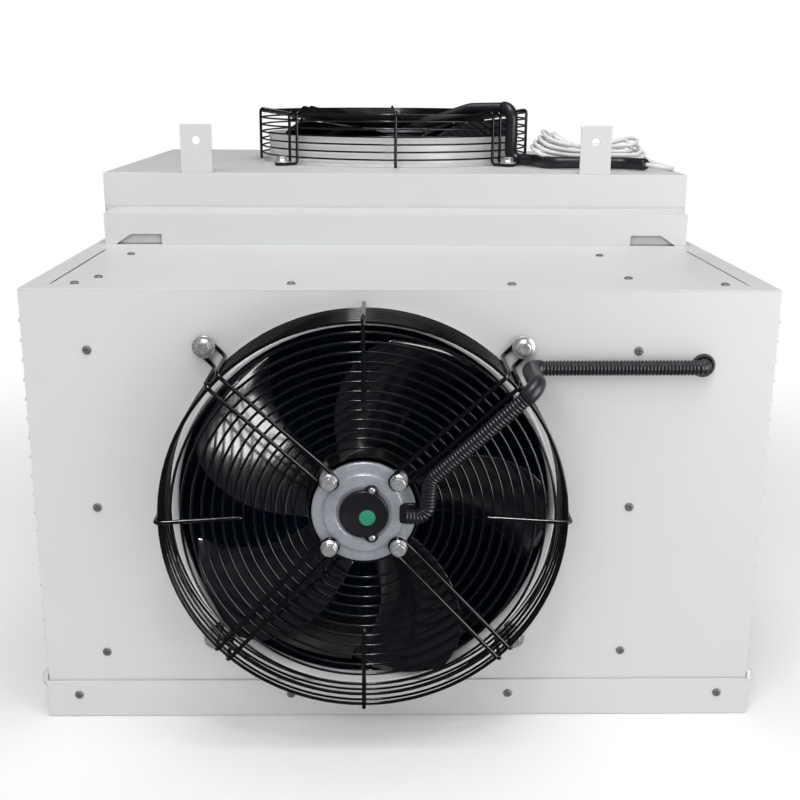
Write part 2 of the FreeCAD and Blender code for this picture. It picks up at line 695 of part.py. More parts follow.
def motor_cap():
    """The black lid of the terminal box, with two screw ears."""
    seat = MOTOR_FACE - COVER_THICKNESS / 4
    lid = turned([(0, seat), (CAP_RADIUS, seat), (CAP_RADIUS, seat + 0.7 * CAP_HEIGHT),
                  (0.9 * CAP_RADIUS, seat + CAP_HEIGHT), (0, seat + CAP_HEIGHT)], 16)
    ear = turned([(0, seat), (CAP_EAR_RADIUS, seat), (CAP_EAR_RADIUS, seat + CAP_HEIGHT / 2),
                  (0, seat + CAP_HEIGHT / 2)], 8)
    ear.translate(V(CAP_RADIUS, 0, 0))
    return joined([lid] + around(ear, (COVER_EAR_ANGLE, -COVER_EAR_ANGLE)))


def fan_rotor():
    """The turning can of the motor and its shaft."""
    top = MOTOR_FACE - COVER_THICKNESS - ROTOR_GAP
    low = top - ROTOR_LENGTH + ROTOR_WALL
    floor = low + ROTOR_WALL
    inner = ROTOR_RADIUS - ROTOR_WALL
    can = turned([(0, low), (ROTOR_RADIUS - ROTOR_WALL, low), (ROTOR_RADIUS, floor), (ROTOR_RADIUS, top),
                  (inner, top), (inner, floor), (0, floor)], ROTOR_SIDES)
    end = floor + ROTOR_LENGTH - 2 * ROTOR_WALL - BEARING_WALL
    shaft = turned([(0, floor), (SHAFT_RADIUS, floor), (SHAFT_RADIUS, end), (0, end)], SHAFT_SIDES)
    return around(joined([can, shaft]), [BLADE_START])[0]


def blade():
    """One sickle blade: cambered sections on growing radii, swept back. Its root lies on rotor sides."""
    root, tip = ROTOR_RADIUS, THROAT_RADIUS - TIP_GAP
    root_chord = 2 * math.pi * ROTOR_RADIUS * BLADE_ROOT_SIDES / ROTOR_SIDES
    stations, across = 4, BLADE_ROOT_SIDES + 1
    upper, lower = [], []
    for station in range(stations):
        share = station / (stations - 1)
        radius = root + (tip - root) * share
        chord = root_chord + (BLADE_TIP_CHORD - root_chord) * share
        rise = dish(radius) - BLADE_CLEAR - BLADE_LOW
        sweep = math.radians(BLADE_SWEEP) * share ** BLADE_SWEEP_POWER + math.pi / ROTOR_SIDES
        row = []
        for column in range(across):
            along = column / (across - 1)
            angle = sweep + chord * (along - 0.5) / radius
            height = BLADE_LOW + rise * along + 4 * BLADE_CAMBER * chord * along * (1 - along)
            row.append(V(radius * math.cos(angle), radius * math.sin(angle), height))
        upper.append([place + V(0, 0, BLADE_THICKNESS / 2) for place in row])
        lower.append([place - V(0, 0, BLADE_THICKNESS / 2) for place in row])
    strips = list(zip(upper, upper[1:])) + list(zip(lower, lower[1:]))
    strips += [(upper[0], lower[0]), (upper[-1], lower[-1])]
    for end in (0, -1):
        strips.append(([row[end] for row in upper], [row[end] for row in lower]))
    faces = []
    for near, far in strips:
        for k in range(len(near) - 1):
            faces += [[near[k], near[k + 1], far[k + 1]], [near[k], far[k + 1], far[k]]]
    return faceted(faces)


def fan_blades():
    return group(around(blade(), [BLADE_START + 360 * k / BLADES for k in range(BLADES)]))


# Warm section

def bulkhead():
    """The insulated wall between the two sections, with the pipe and drain passages."""
    side = HALF - SHEET - FIT_GAP
    wall = block(-side, side, -BULKHEAD_DEPTH, -FIT_GAP, SHEET, COLD_HEIGHT - SHEET)
    return wall.cut(wall_passages(-BULKHEAD_DEPTH, BULKHEAD_DEPTH, PIPE_CLEARANCE))


def base_pan():
    """The floor of the warm section and of the bulkhead, folded up at both sides."""
    side = HALF - SHEET - FIT_GAP
    plate = block(-side, side, -BULKHEAD_DEPTH, WARM_DEPTH - SHEET - FIT_GAP, 0, SHEET)
    edge = block(side - SHEET, side, SHEET, WARM_DEPTH - SHEET - FIT_GAP, 0, PAN_FLANGE)
    return joined([plate] + both_sides(edge))


def warm_front_wall():
    """The front wall of the warm casing, behind the bulkhead and up to the lid."""
    side = HALF - SHEET - FIT_GAP
    wall = block(-side, side, 0, SHEET, SHEET, LID_LOW)
    return wall.cut(wall_passages(-SHEET, 3 * SHEET, FIT_GAP))


def warm_side():
    """The right-hand side of the warm casing, folded inwards under the lid."""
    skin = block(HALF - SHEET, HALF, 0, WARM_DEPTH, 0, LID_LOW)
    flange = block(HALF - RETURN_FLANGE, HALF, 2 * SHEET, WARM_DEPTH - 2 * SHEET, LID_LOW - SHEET, LID_LOW)
    return joined([skin, flange])


def rear_panel():
    """The back, open in the middle for the air that the condenser draws in."""
    side = HALF - SHEET - FIT_GAP
    sheet = block(-side, side, WARM_DEPTH - SHEET, WARM_DEPTH, 0, LID_LOW)
    window = block(WINDOW_SIDE - HALF, HALF - WINDOW_SIDE, WARM_DEPTH - 2 * SHEET, WARM_DEPTH + SHEET,
                   WINDOW_LOW, WINDOW_HIGH)
    drain = along_y(bored(DRAIN_RUN_RADIUS + FIT_GAP, 4 * SHEET), DRAIN_X, WARM_DEPTH - 3 * SHEET, DRAIN_RISE)
    return sheet.cut(group([window, drain]))


def deck_lid():
    """The lid of the warm section: a folded pan turned over, with the fan's hole in its deck."""
    box = block(-HALF, HALF, 0, WARM_DEPTH, LID_LOW, DECK_HEIGHT)
    hollow = block(SHEET - HALF, HALF - SHEET, SHEET, WARM_DEPTH - SHEET, LID_LOW, DECK_HEIGHT - SHEET)
    return box.cut(hollow).cut(fan_opening(DECK_FAN))


def bridge_cover():
    """The raised cover over the joint, notched at both lower corners of its front."""
    half, front = BRIDGE_WIDTH / 2, -BRIDGE_DEPTH
    box = block(-half, half, front, -FIT_GAP, COLD_HEIGHT, BRIDGE_TOP)
    hollow = block(SHEET - half, half - SHEET, front + SHEET, 0, COLD_HEIGHT, BRIDGE_TOP - SHEET)
    outer = half - BRIDGE_NOTCH_EDGE
    low, high = COLD_HEIGHT, COLD_HEIGHT + BRIDGE_NOTCH_HEIGHT
    inner = outer - BRIDGE_NOTCH_SLANT - BRIDGE_NOTCH_LENGTH
    notch = prism([V(outer, front, low), V(outer - BRIDGE_NOTCH_SLANT, front, high), V(inner, front, high),
                   V(inner, front, low)], V(0, SHEET, 0))
    return box.cut(group([hollow] + both_sides(notch)))


def warm_casing_screws():
    """Screws of the bridge cover, of the warm section's sides and back, and of the wall ears."""
    sides = [V(BRIDGE_WIDTH / 2, -0.75 * BRIDGE_DEPTH, COLD_HEIGHT + 0.75 * BRIDGE_HEIGHT)]
    sides += [V(HALF, y, z) for y in (0.08 * WARM_DEPTH, 0.5 * WARM_DEPTH, 0.92 * WARM_DEPTH)
              for z in (PAN_FLANGE / 2, LID_LOW - RETURN_FLANGE / 2)]
    right = screws(sides, V(1, 0, 0))
    left = [screw.mirror(V(0, 0, 0), V(1, 0, 0)) for screw in right]
    back = screws([V(side * (HALF - WINDOW_SIDE / 2), WARM_DEPTH, z) for side in (-1, 1)
                   for z in (0.15 * LID_LOW, 0.5 * LID_LOW, 0.9 * LID_LOW)], V(0, 1, 0))
    ears = screws([V(side * EAR_SPACING / 2 + shift, 0.6 * EAR_LEG, DECK_HEIGHT + EAR_THICKNESS)
                   for side in (-1, 1) for shift in (-0.25 * EAR_WIDTH, 0.25 * EAR_WIDTH)], UPRIGHT)
    return group(right + left + back + ears)


def wall_ear(side):
    """An angle bracket at the front edge of the deck, with the hole for the wall bolt."""
    x, z = side * EAR_SPACING / 2, DECK_HEIGHT
    plate = block(x - EAR_WIDTH / 2, x + EAR_WIDTH / 2, 0, EAR_THICKNESS, z, z + EAR_RISE)
    leg = block(x - EAR_WIDTH / 2, x + EAR_WIDTH / 2, 0, EAR_LEG, z, z + EAR_THICKNESS)
    hole = Part.makeCylinder(EAR_HOLE_RADIUS, 3 * EAR_THICKNESS, V(x, -EAR_THICKNESS, z + EAR_HOLE_RISE),
                             V(0, 1, 0))
    return joined([plate, leg]).cut(hole)


def condenser_seat():
    """Corner values of the condenser block: half span, front, back, foot and top."""
    back = WARM_DEPTH - SHEET - CONDENSER_SET_BACK
    return HALF - CONDENSER_MARGIN, back - CONDENSER_DEPTH, back, CONDENSER_FOOT, LID_LOW - CONDENSER_TOP_GAP


def condenser_block():
    half, front, back, low, high = condenser_seat()
    return fin_block(-half, half, back, front, low, high)


def condenser_end_plate(side):
    """An end plate that stands on the base pan and is folded out against the back panel."""
    half, front, back, low, high = condenser_seat()
    near = side * (half + FIT_GAP)
    web_low, web_high = sorted((near, near + side * SHEET))
    fold_low, fold_high = sorted((near, near + side * PLATE_FLANGE))
    end = WARM_DEPTH - SHEET - FIT_GAP
    web = block(web_low, web_high, front, end, SHEET, high)
    fold = block(fold_low, fold_high, end - SHEET, end, PAN_FLANGE, high)
    window = block(web_low - SHEET, web_high + SHEET, front + SHEET, back - SHEET, low + PLATE_FLANGE,
                   high - PLATE_FLANGE)
    return joined([web, fold]).cut(window)


def condenser_bends():
    half, front, back, low, high = condenser_seat()
    y, lowest = (front + back) / 2, low + PLATE_FLANGE + 25
    return group(return_bends(-half, -1, y, lowest) + return_bends(half, 1, y, lowest))


def compressor():
    """A welded hermetic compressor shell with its foot plate."""
    low, r, h = SHEET + COMPRESSOR_FEET_HEIGHT, COMPRESSOR_RADIUS, COMPRESSOR_HEIGHT
    shell = turned([(0, low), (0.8 * r, low), (r, low + 0.15 * h), (r, low + 0.45 * h),
                    (1.04 * r, low + 0.46 * h), (1.04 * r, low + 0.5 * h), (r, low + 0.51 * h),
                    (r, low + 0.8 * h), (0.7 * r, low + 0.96 * h), (0, low + h)], 16)
    reach = COMPRESSOR_FEET_SPACING / 2 + COMPRESSOR_FOOT_RADIUS
    plate = block(-reach, reach, -reach, reach, low, low + 2 * SHEET)
    unit = joined([shell, plate])
    unit.translate(V(COMPRESSOR_X, COMPRESSOR_Y, 0))
    return unit


def compressor_feet():
    """Rubber feet under the corners of the compressor's plate."""
    top, half = SHEET + COMPRESSOR_FEET_HEIGHT, COMPRESSOR_FEET_SPACING / 2
    radius = COMPRESSOR_FOOT_RADIUS
    foot = turned([(0, SHEET), (radius, SHEET), (0.75 * radius, top), (0, top)], 8)
    feet = []
    for dx, dy in ((-half, -half), (half, -half), (half, half), (-half, half)):
        piece = foot.copy()
        piece.translate(V(COMPRESSOR_X + dx, COMPRESSOR_Y + dy, 0))
        feet.append(piece)
    return group(feet)


def filter_drier():
    """The drier that stands upright in the liquid line, necked at both ends."""
    r, tall, neck = DRIER_RADIUS, DRIER_LENGTH, PIPE_RADIUS + SHEET
    body = turned([(0, 0), (neck, 0), (neck, 0.1 * tall), (r, 0.25 * tall), (r, 0.75 * tall),
                   (neck, 0.9 * tall), (neck, tall), (0, tall)], 12)
    body.translate(V(*drier_seat()))
    return body


def control_box():
    """The electrical box of folded sheet on the base pan, with its lid."""
    width, depth, height = CONTROL_BOX
    x, y = CONTROL_BOX_X - width / 2, 2 * SHEET + FIT_GAP
    body = block(x, x + width, y, y + depth, SHEET, SHEET + height)
    room = block(x + SHEET, x + width - SHEET, y + SHEET, y + depth - SHEET, SHEET, SHEET + height)
    top = SHEET + height
    lid = block(x - SHEET, x + width + SHEET, y, y + depth + SHEET, top, top + 2 * SHEET)
    return joined([body.cut(room), lid])


def pipe(points, radius):
    """A copper pipe of six flats inside a radius, with mitred elbows."""
    return bar(points, 2 * (radius - PIPE_CLEARANCE) * math.cos(math.pi / 6), 6)


def suction_pipe():
    """From the evaporator's outlet, through the bulkhead, to the compressor."""
    coil_x = coil_inner_ends()[1] + FIT_GAP
    coil_y = FACE_Y + COIL_START + COIL_DEPTH - 2 * SUCTION_RADIUS
    top = SHEET + COMPRESSOR_FEET_HEIGHT + 0.5 * COMPRESSOR_HEIGHT
    compressor_side = COMPRESSOR_X + 1.04 * COMPRESSOR_RADIUS
    drop_x = compressor_side + 0.6 * COMPRESSOR_RADIUS
    back = 0.5 * (COMPRESSOR_Y - COMPRESSOR_RADIUS)
    level = [(coil_x, coil_y), (PIPE_X, coil_y), (PIPE_X, back), (drop_x, back)]
    return pipe([V(x, y, SUCTION_RISE) for x, y in level] +
                [V(drop_x, COMPRESSOR_Y, top), V(compressor_side, COMPRESSOR_Y, top)], SUCTION_RADIUS)


def drier_seat():
    """Where the drier stands: its x and y and the height of its lower end."""
    return DRIER_X, condenser_seat()[1] - 2 * DRIER_RADIUS, 0.2 * LID_LOW


def liquid_pipe():
    """From the drier, through the bulkhead, to the evaporator's inlet."""
    x, y, low = drier_seat()
    coil_x, coil_y = coil_inner_ends()[1] + FIT_GAP, FACE_Y + COIL_START + 2 * SUCTION_RADIUS
    back = COMPRESSOR_Y - COMPRESSOR_RADIUS
    level = [(x, y), (x, back), (PIPE_X, back), (PIPE_X, coil_y), (coil_x, coil_y)]
    return pipe([V(x, y, low + DRIER_LENGTH)] + [V(x, y, LIQUID_RISE) for x, y in level], PIPE_RADIUS)


def discharge_pipes():
    """From the compressor's dome to the top of the condenser, and from its foot to the drier."""
    half, front, back, low, high = condenser_seat()
    top = SHEET + COMPRESSOR_FEET_HEIGHT + COMPRESSOR_HEIGHT
    inlet, outlet = high - PLATE_FLANGE, low + PLATE_FLANGE
    hot = pipe([V(COMPRESSOR_X, COMPRESSOR_Y, top), V(COMPRESSOR_X, COMPRESSOR_Y, inlet),
                V(COMPRESSOR_X, front, inlet)], PIPE_RADIUS)
    x, y, drier_low = drier_seat()
    cool = pipe([V(x, front, outlet), V(x, y, outlet), V(x, y, drier_low)], PIPE_RADIUS)
    return group([hot, cool])


def drain_pipe():
    """Condensate pipe from the tray, through both sections, to a spout behind the unit."""
    start = -BULKHEAD_DEPTH - FIT_GAP - 4 * SHEET
    length = WARM_DEPTH + DRAIN_SPOUT - start
    spout = Part.makeCylinder(DRAIN_RADIUS - FIT_GAP / 2, DRAIN_SPOUT - DRAIN_STEP,
                              V(0, 0, length - DRAIN_SPOUT + DRAIN_STEP))
    bore = bored(DRAIN_BORE * math.cos(math.pi / DRAIN_SIDES), length, DRAIN_SIDES)
    return along_y(drain_run(length).fuse(spout).cut(bore), DRAIN_X, start, DRAIN_RISE)


# Conduits and the free lead

def fan_conduit_route(side):
    """Corners of a fan's conduit in the fan's frame: out of the motor, beside an arm, over the rim and down.
    Side is 1 for the arm towards +X +Y and -1 for the arm towards +X -Y."""
    wire = ARM_WIRE / 2
    beside = ARM_HALF_SPACING + wire + CONDUIT_RADIUS + SLEEVE_WALL + FIT_GAP
    lift = CONDUIT_RADIUS - wire + FIT_GAP
    rim = leg_radii()[0] + 2 * wire + CONDUIT_RADIUS + SLEEVE_WALL + FIT_GAP
    clear = GUARD_INNER_RING + CONDUIT_RADIUS

    def beside_arm(reach, height):
        return V((reach + beside) / math.sqrt(2), side * (reach - beside) / math.sqrt(2), height)

    start = V(0.8 * COVER_RADIUS, 0, MOTOR_FACE + CONDUIT_RADIUS + FIT_GAP)
    knee = start + V(0.4 * COVER_RADIUS, 0, 0)
    return [start, knee, beside_arm(clear, dish(clear) + lift + 1),
            beside_arm(rim, dish(rim) + lift + SLEEVE_WALL),
            beside_arm(rim, CONDUIT_RADIUS + SLEEVE_WALL + FIT_GAP)]


def sleeve_joints(route):
    """Where the smooth sleeve starts, before the rim, and where it ends, past the foot of the cage."""
    before = route[3] + (route[2] - route[3]).normalize() * 2 * CONDUIT_BEND
    after = route[4] + (route[5] - route[4]).normalize() * 1.4 * CONDUIT_BEND
    return before, after


def front_route():
    """All corners of the front conduit, in the front fan's frame, to its hole beside the fan."""
    route = fan_conduit_route(1)
    hole = V(GROMMET_X - FAN_X, GROMMET_Z - FAN_HEIGHT, GROMMET_STAND + CONDUIT_RADIUS + FIT_GAP)
    return route + [hole, V(hole.x, hole.y, -CONDUIT_RADIUS)]


def motor_conduit(route):
    """The corrugated stretch from the motor to the smooth sleeve."""
    before, after = sleeve_joints(route)
    return bent(route[:3] + [before], [CONDUIT_INLET_BEND, CONDUIT_BEND], CONDUIT_RADIUS, CONDUIT_SIDES)


def rim_sleeve(route):
    """The smooth sleeve over the rim and down the cage."""
    before, after = sleeve_joints(route)
    return bent([before] + route[3:5] + [after], [CONDUIT_BEND, CONDUIT_BEND], CONDUIT_RADIUS + SLEEVE_WALL,
                CONDUIT_SIDES)


def face_conduit(route):
    """The corrugated stretch along the front panel and into its hole."""
    before, after = sleeve_joints(route)
    return bent([after] + route[5:], [CONDUIT_HOLE_BEND], CONDUIT_RADIUS, CONDUIT_SIDES)


def grommet():
    """The rubber ring round the conduit's hole in the front panel."""
    ring = turned([(GROMMET_BORE, 0), (GROMMET_RADIUS, 0), (GROMMET_RADIUS, 0.6 * GROMMET_STAND),
                   (GROMMET_RADIUS - 0.4 * GROMMET_STAND, GROMMET_STAND), (GROMMET_BORE, GROMMET_STAND)], 16)
    ring.translate(V(GROMMET_X - FAN_X, GROMMET_Z - FAN_HEIGHT, 0))
    return ring


def deck_route():
    """All corners of the deck conduit, in the deck fan's frame, to its open end behind the right-hand ear."""
    route = fan_conduit_route(-1)
    level = route[-1].z
    rest = [V(x, y - DECK_FAN_BACK, level) for x, y in DECK_CONDUIT_ROUTE]
    return route + rest


def deck_conduit(route):
    """The rest of the deck conduit, smooth along the deck to its open end."""
    before, after = sleeve_joints(route)
    return bent([after] + route[5:], [DECK_CONDUIT_BEND] * (len(route) - 6), CONDUIT_RADIUS, CONDUIT_SIDES)


def lead_route():
    return [V(*corner) for corner in LEAD_ROUTE]


def lead_radii(route):
    """Each bend is as large as its two runs allow."""
    radii = []
    for before, corner, after in zip(route, route[1:], route[2:]):
        turn = (corner - before).getAngle(after - corner)
        shorter = min((corner - before).Length, (after - corner).Length)
        radii.append(0.45 * shorter / math.tan(turn / 2))
    return radii


def lead_run():
    """The stretch of the white lead from the conduit's open end to its hank."""
    route = lead_route()
    radii = lead_radii(route)
    path = rounded_path(route, radii)
    tube = hose(path, LEAD_RADIUS, LEAD_SIDES)
    section = LEAD_SIDES / 2 * math.sin(2 * math.pi / LEAD_SIDES) * LEAD_RADIUS ** 2 * path.Length
    print("lead bends", [round(r, 1) for r in radii], "length", round(path.Length, 1),
          "volume over section times length", round(tube.Volume / section, 4))
    return tube


def lead_hank():
    """The outer shape of the lead's hank: eight-cornered sections along X, raised over the sleeve."""
    outline = ((-0.6, 0), (0.6, 0), (1, 0.25), (1, 0.65), (0.5, 1), (-0.5, 1), (-1, 0.65), (-1, 0.25))
    rings = []
    for x, half, low, high in HANK_STATIONS:
        rings.append([V(x, HANK_Y + across * half, DECK_HEIGHT + low + up * (high - low))
                      for across, up in outline])
    faces = [rings[0], rings[-1]]
    for first, second in zip(rings, rings[1:]):
        for k in range(len(first)):
            j = (k + 1) % len(first)
            faces += [[first[k], first[j], second[j]], [first[k], second[j], second[k]]]
    return faceted(faces)


def nodes():
    """Every node's shape by name."""
    made = {
        "front_panel": front_panel(),
        "top_cover": top_cover(),
        "drip_tray": drip_tray(),
        "cold_casing_screws": group(tray_screws() + face_screws() + top_screws()),
        "tray_thumb_screws": tray_thumb_screws(),
        "coil_end_plate_left": coil_end_plate(-1),
        "coil_end_plate_right": coil_end_plate(1),
        "evaporator_fin_block": evaporator_block(),
        "evaporator_return_bends": evaporator_bends(),
        "insulated_bulkhead": bulkhead(),
        "base_pan": base_pan(),
        "warm_front_wall": warm_front_wall(),
        "rear_panel": rear_panel(),
        "deck_lid": deck_lid(),
        "bridge_cover": bridge_cover(),
        "warm_casing_screws": warm_casing_screws(),
        "wall_ear_left": wall_ear(-1),
        "wall_ear_right": wall_ear(1),
        "condenser_fin_block": condenser_block(),
        "condenser_end_plate_left": condenser_end_plate(-1),
        "condenser_end_plate_right": condenser_end_plate(1),
        "condenser_return_bends": condenser_bends(),
        "compressor": compressor(),
        "compressor_feet": compressor_feet(),
        "filter_drier": filter_drier(),
        "control_box": control_box(),
        "suction_pipe": suction_pipe(),
        "liquid_pipe": liquid_pipe(),
        "discharge_pipes": discharge_pipes(),
        "drain_pipe": drain_pipe(),
        "conduit_grommet": placed(grommet(), FRONT_FAN),
        "front_motor_conduit": placed(motor_conduit(front_route()), FRONT_FAN),
        "front_rim_sleeve": placed(rim_sleeve(front_route()), FRONT_FAN),
        "front_face_conduit": placed(face_conduit(front_route()), FRONT_FAN),
        "deck_motor_conduit": placed(motor_conduit(deck_route()), DECK_FAN),
        "deck_rim_sleeve": placed(rim_sleeve(deck_route()), DECK_FAN),
        "deck_conduit": placed(deck_conduit(deck_route()), DECK_FAN),
        "lead_run": lead_run(),
        "lead_hank": lead_hank(),
    }
    made["cold_side_right"], made["cold_side_left"] = both_sides(cold_side())
    made["warm_side_right"], made["warm_side_left"] = both_sides(warm_side())
    fan = {"collar": fan_collar(), "guard_grille": guard_grille(), "guard_cage": guard_cage(),
           "guard_bolts": guard_bolts(), "motor_bolts": motor_bolts(), "motor_stator": motor_stator(),
           "motor_cap": motor_cap(), "rotor": fan_rotor(), "blades": fan_blades()}
    for place, seat in (("front", FRONT_FAN), ("deck", DECK_FAN)):
        for name, shape in fan.items():
            if name != "motor_cap" or place == "front":
                made[f"{place}_{name}"] = placed(shape, seat)
    return made


def main():
    os.makedirs("parts", exist_ok=True)
    for name, shape in nodes().items():
        shape.exportStep(f"parts/{name}.step")
        print(name, len(shape.Solids), round(shape.Volume / 1000, 2), "cm3", shape.isValid())


main()
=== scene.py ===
# %% [markdown]
# # A cooling unit for a wine cellar
# The real unit is a white sheet metal casing in two sections. A guarded fan blows out of the front of the
# cold section, and another one stands on the deck of the warm section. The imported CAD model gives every
# size and place, and this file dresses it. The camera and the free lead come first, then the finishes,
# the guards, the motors and blades, the casing, what is inside it, and last the floor and the light.

# %% Load the frame
import json
import math

import bmesh
import bpy
import numpy as np
from mathutils import Matrix, Vector

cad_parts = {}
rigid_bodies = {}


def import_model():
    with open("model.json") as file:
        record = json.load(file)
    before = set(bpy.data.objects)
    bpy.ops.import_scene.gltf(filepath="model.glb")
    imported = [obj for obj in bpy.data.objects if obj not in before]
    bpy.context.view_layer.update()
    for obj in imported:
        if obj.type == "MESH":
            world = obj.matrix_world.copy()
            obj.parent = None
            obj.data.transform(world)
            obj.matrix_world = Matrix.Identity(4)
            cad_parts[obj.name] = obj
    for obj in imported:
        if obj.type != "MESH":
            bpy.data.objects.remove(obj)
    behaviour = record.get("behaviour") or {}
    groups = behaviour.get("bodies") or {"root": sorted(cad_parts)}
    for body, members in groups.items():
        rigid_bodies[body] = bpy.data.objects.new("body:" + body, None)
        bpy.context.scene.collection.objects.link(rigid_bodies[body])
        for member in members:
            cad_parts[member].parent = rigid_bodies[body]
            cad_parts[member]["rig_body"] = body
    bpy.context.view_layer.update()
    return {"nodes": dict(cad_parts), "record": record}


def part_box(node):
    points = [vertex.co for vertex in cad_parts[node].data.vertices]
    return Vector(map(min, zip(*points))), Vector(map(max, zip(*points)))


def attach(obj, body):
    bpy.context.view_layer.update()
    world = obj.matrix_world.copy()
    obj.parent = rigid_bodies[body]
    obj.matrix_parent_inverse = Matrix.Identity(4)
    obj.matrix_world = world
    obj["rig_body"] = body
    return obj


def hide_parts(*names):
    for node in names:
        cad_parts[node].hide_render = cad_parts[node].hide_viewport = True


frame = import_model()
MM = 0.001

# %% [markdown]
# ## The camera
# The photograph was taken from a little above the middle of the unit, with a short telephoto lens. A
# camera can be aimed with a constraint, but three plain angles are easier to fit to a photograph: pitch
# looks down, yaw looks aside and roll tilts the horizon. They give the three axes of the camera directly.

# %% Camera
LENS = 51.79
SENSOR = 36.0
EYE = Vector((-23.05, -1440.28, 634.98)) * MM
PITCH = 0.26964
YAW = 0.020167
ROLL = 0.0063318


def aim(pitch, yaw, roll):
    """Camera axes as the columns of a matrix: right, up, and back along the line of sight."""
    ahead = Vector((math.sin(yaw) * math.cos(pitch), math.cos(yaw) * math.cos(pitch), -math.sin(pitch)))
    level = Vector((math.cos(yaw), -math.sin(yaw), 0))
    upright = level.cross(ahead)
    right = level * math.cos(roll) + upright * math.sin(roll)
    up = upright * math.cos(roll) - level * math.sin(roll)
    return Matrix((right, up, -ahead)).transposed().to_4x4()


camera = bpy.data.objects.new("camera", bpy.data.cameras.new("camera"))
bpy.context.scene.collection.objects.link(camera)
camera.data.lens = LENS
camera.data.sensor_width = SENSOR
camera.matrix_world = Matrix.Translation(EYE) @ aim(PITCH, YAW, ROLL)
bpy.context.scene.camera = camera
print("camera looks down by", round(math.degrees(PITCH), 1), "degrees")

# %% [markdown]
# ## The white lead
# A white lead comes out of the open end of the deck's conduit, and its whole length is tied up in a hank
# behind the right-hand wall ear. A cloth or rope simulation could drop it there, but a smooth curve with
# given points is surer. The first points are the route of the CAD lead. The turns follow from an angle:
# each turn runs along X, pinches at the tie and opens into a lobe at both ends. The turns lie in four
# layers, each with an outer and an inner turn, and no two are alike.

# %% Lead
DECK = 526.0
LEAD_DIAMETER = 0.005
LEAD_ROUTE = np.array([(322.3, 59.7, 534.6), (331.5, 49.2, 533.5), (345.9, 48.4, 531.5),
                       (356.4, 58.2, 529.6), (356.9, 73.0, 529.4), (350.0, 92.0, 531.0),
                       (339.5, 112.4, 534.5)])
TIE_PLACE = (252.0, 130.0)
TURN_POINTS = 16
TURNS = 7.7
RIGHT_REACH = (88, 74, 70, 84, 77, 64, 60, 73, 73)
LEFT_REACH = (70, 56, 52, 66, 60, 45, 42, 56, 56)
LOBE_WIDTH = (23, 16, 15, 22, 21, 14, 13, 19, 19)
TIE_WIDTH = (8.4, 2.8, 2.8, 8.4, 8.4, 2.8, 2.8, 8.4, 8.4)
TIE_RISE = (10, 10, 15.7, 15.7, 21.4, 21.4, 27.1, 27.1, 27.1)
RIGHT_RISE = (10, 10.5, 17, 18, 26, 27, 34, 36, 36)
LEFT_RISE = (26, 26, 32, 32, 38, 38, 44, 46, 46)
LOBE_TILT = 0.22
LOBE_FULLNESS = 2.6
SLIDE = 0.25


def hank_turns():
    """Points of the tied turns. With the angle t, x is the reach times cos t, and y is sin t times a width:
    the tie's, plus the lobe's times its fullness times cos t squared. The height goes from the tie's to the
    lobe's with cos t squared. Each value slides to the next turn's over the last quarter of a turn."""
    angle = np.arange(round(TURNS * TURN_POINTS) + 1) * 2 * np.pi / TURN_POINTS
    laps = angle / (2 * np.pi)
    turn = np.minimum((laps + 1e-9).astype(int), len(TIE_RISE) - 2)
    late = np.clip(laps - turn - (1 - SLIDE), 0, SLIDE) / SLIDE

    def sliding(values):
        values = np.array(values, float)
        return values[turn] + (values[turn + 1] - values[turn]) * late

    along, across = np.cos(angle), np.sin(angle)
    reach = np.where(along > 0, sliding(RIGHT_REACH), sliding(LEFT_REACH))
    side = across * (sliding(TIE_WIDTH) + LOBE_FULLNESS * sliding(LOBE_WIDTH) * along ** 2)
    rise = np.where(along > 0, sliding(RIGHT_RISE), sliding(LEFT_RISE))
    height = sliding(TIE_RISE) + (rise - sliding(TIE_RISE)) * along ** 2 + LOBE_TILT * side * along ** 2
    return np.stack([TIE_PLACE[0] + reach * along, TIE_PLACE[1] + side, DECK + height], 1)


def smooth_line(name, points, diameter):
    """A round cord whose centreline is one open NURBS spline with these control points. Blender widens a
    curve's box by its points' radius, so that holds the cord's radius, and the bevel is 1 deep."""
    curve = bpy.data.curves.new(name, "CURVE")
    curve.dimensions = "3D"
    spline = curve.splines.new("NURBS")
    spline.points.add(len(points) - 1)
    spline.points.foreach_set("co", np.column_stack([points * MM, np.ones(len(points))]).ravel())
    spline.points.foreach_set("radius", np.full(len(points), diameter / 2))
    spline.order_u = 3
    spline.use_endpoint_u = True
    spline.resolution_u = 6
    curve.bevel_depth = 1.0
    curve.bevel_resolution = 3
    curve.use_fill_caps = True
    cord = bpy.data.objects.new(name, curve)
    bpy.context.scene.collection.objects.link(cord)
    return cord


lead_points = np.vstack([LEAD_ROUTE, hank_turns()])
lead = smooth_line("white_lead", lead_points, LEAD_DIAMETER)
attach(lead, "root")
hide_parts("lead_run", "lead_hank")

# %% [markdown]
# ## Maths for the finishes
# A finish in Blender is a graph of small nodes. Adding the nodes one by one is long to write and hard to
# read, so a small class carries one value of the graph, and Python's own signs add the Math nodes. Any
# other node comes from its one method `node`.

# %% Shade class


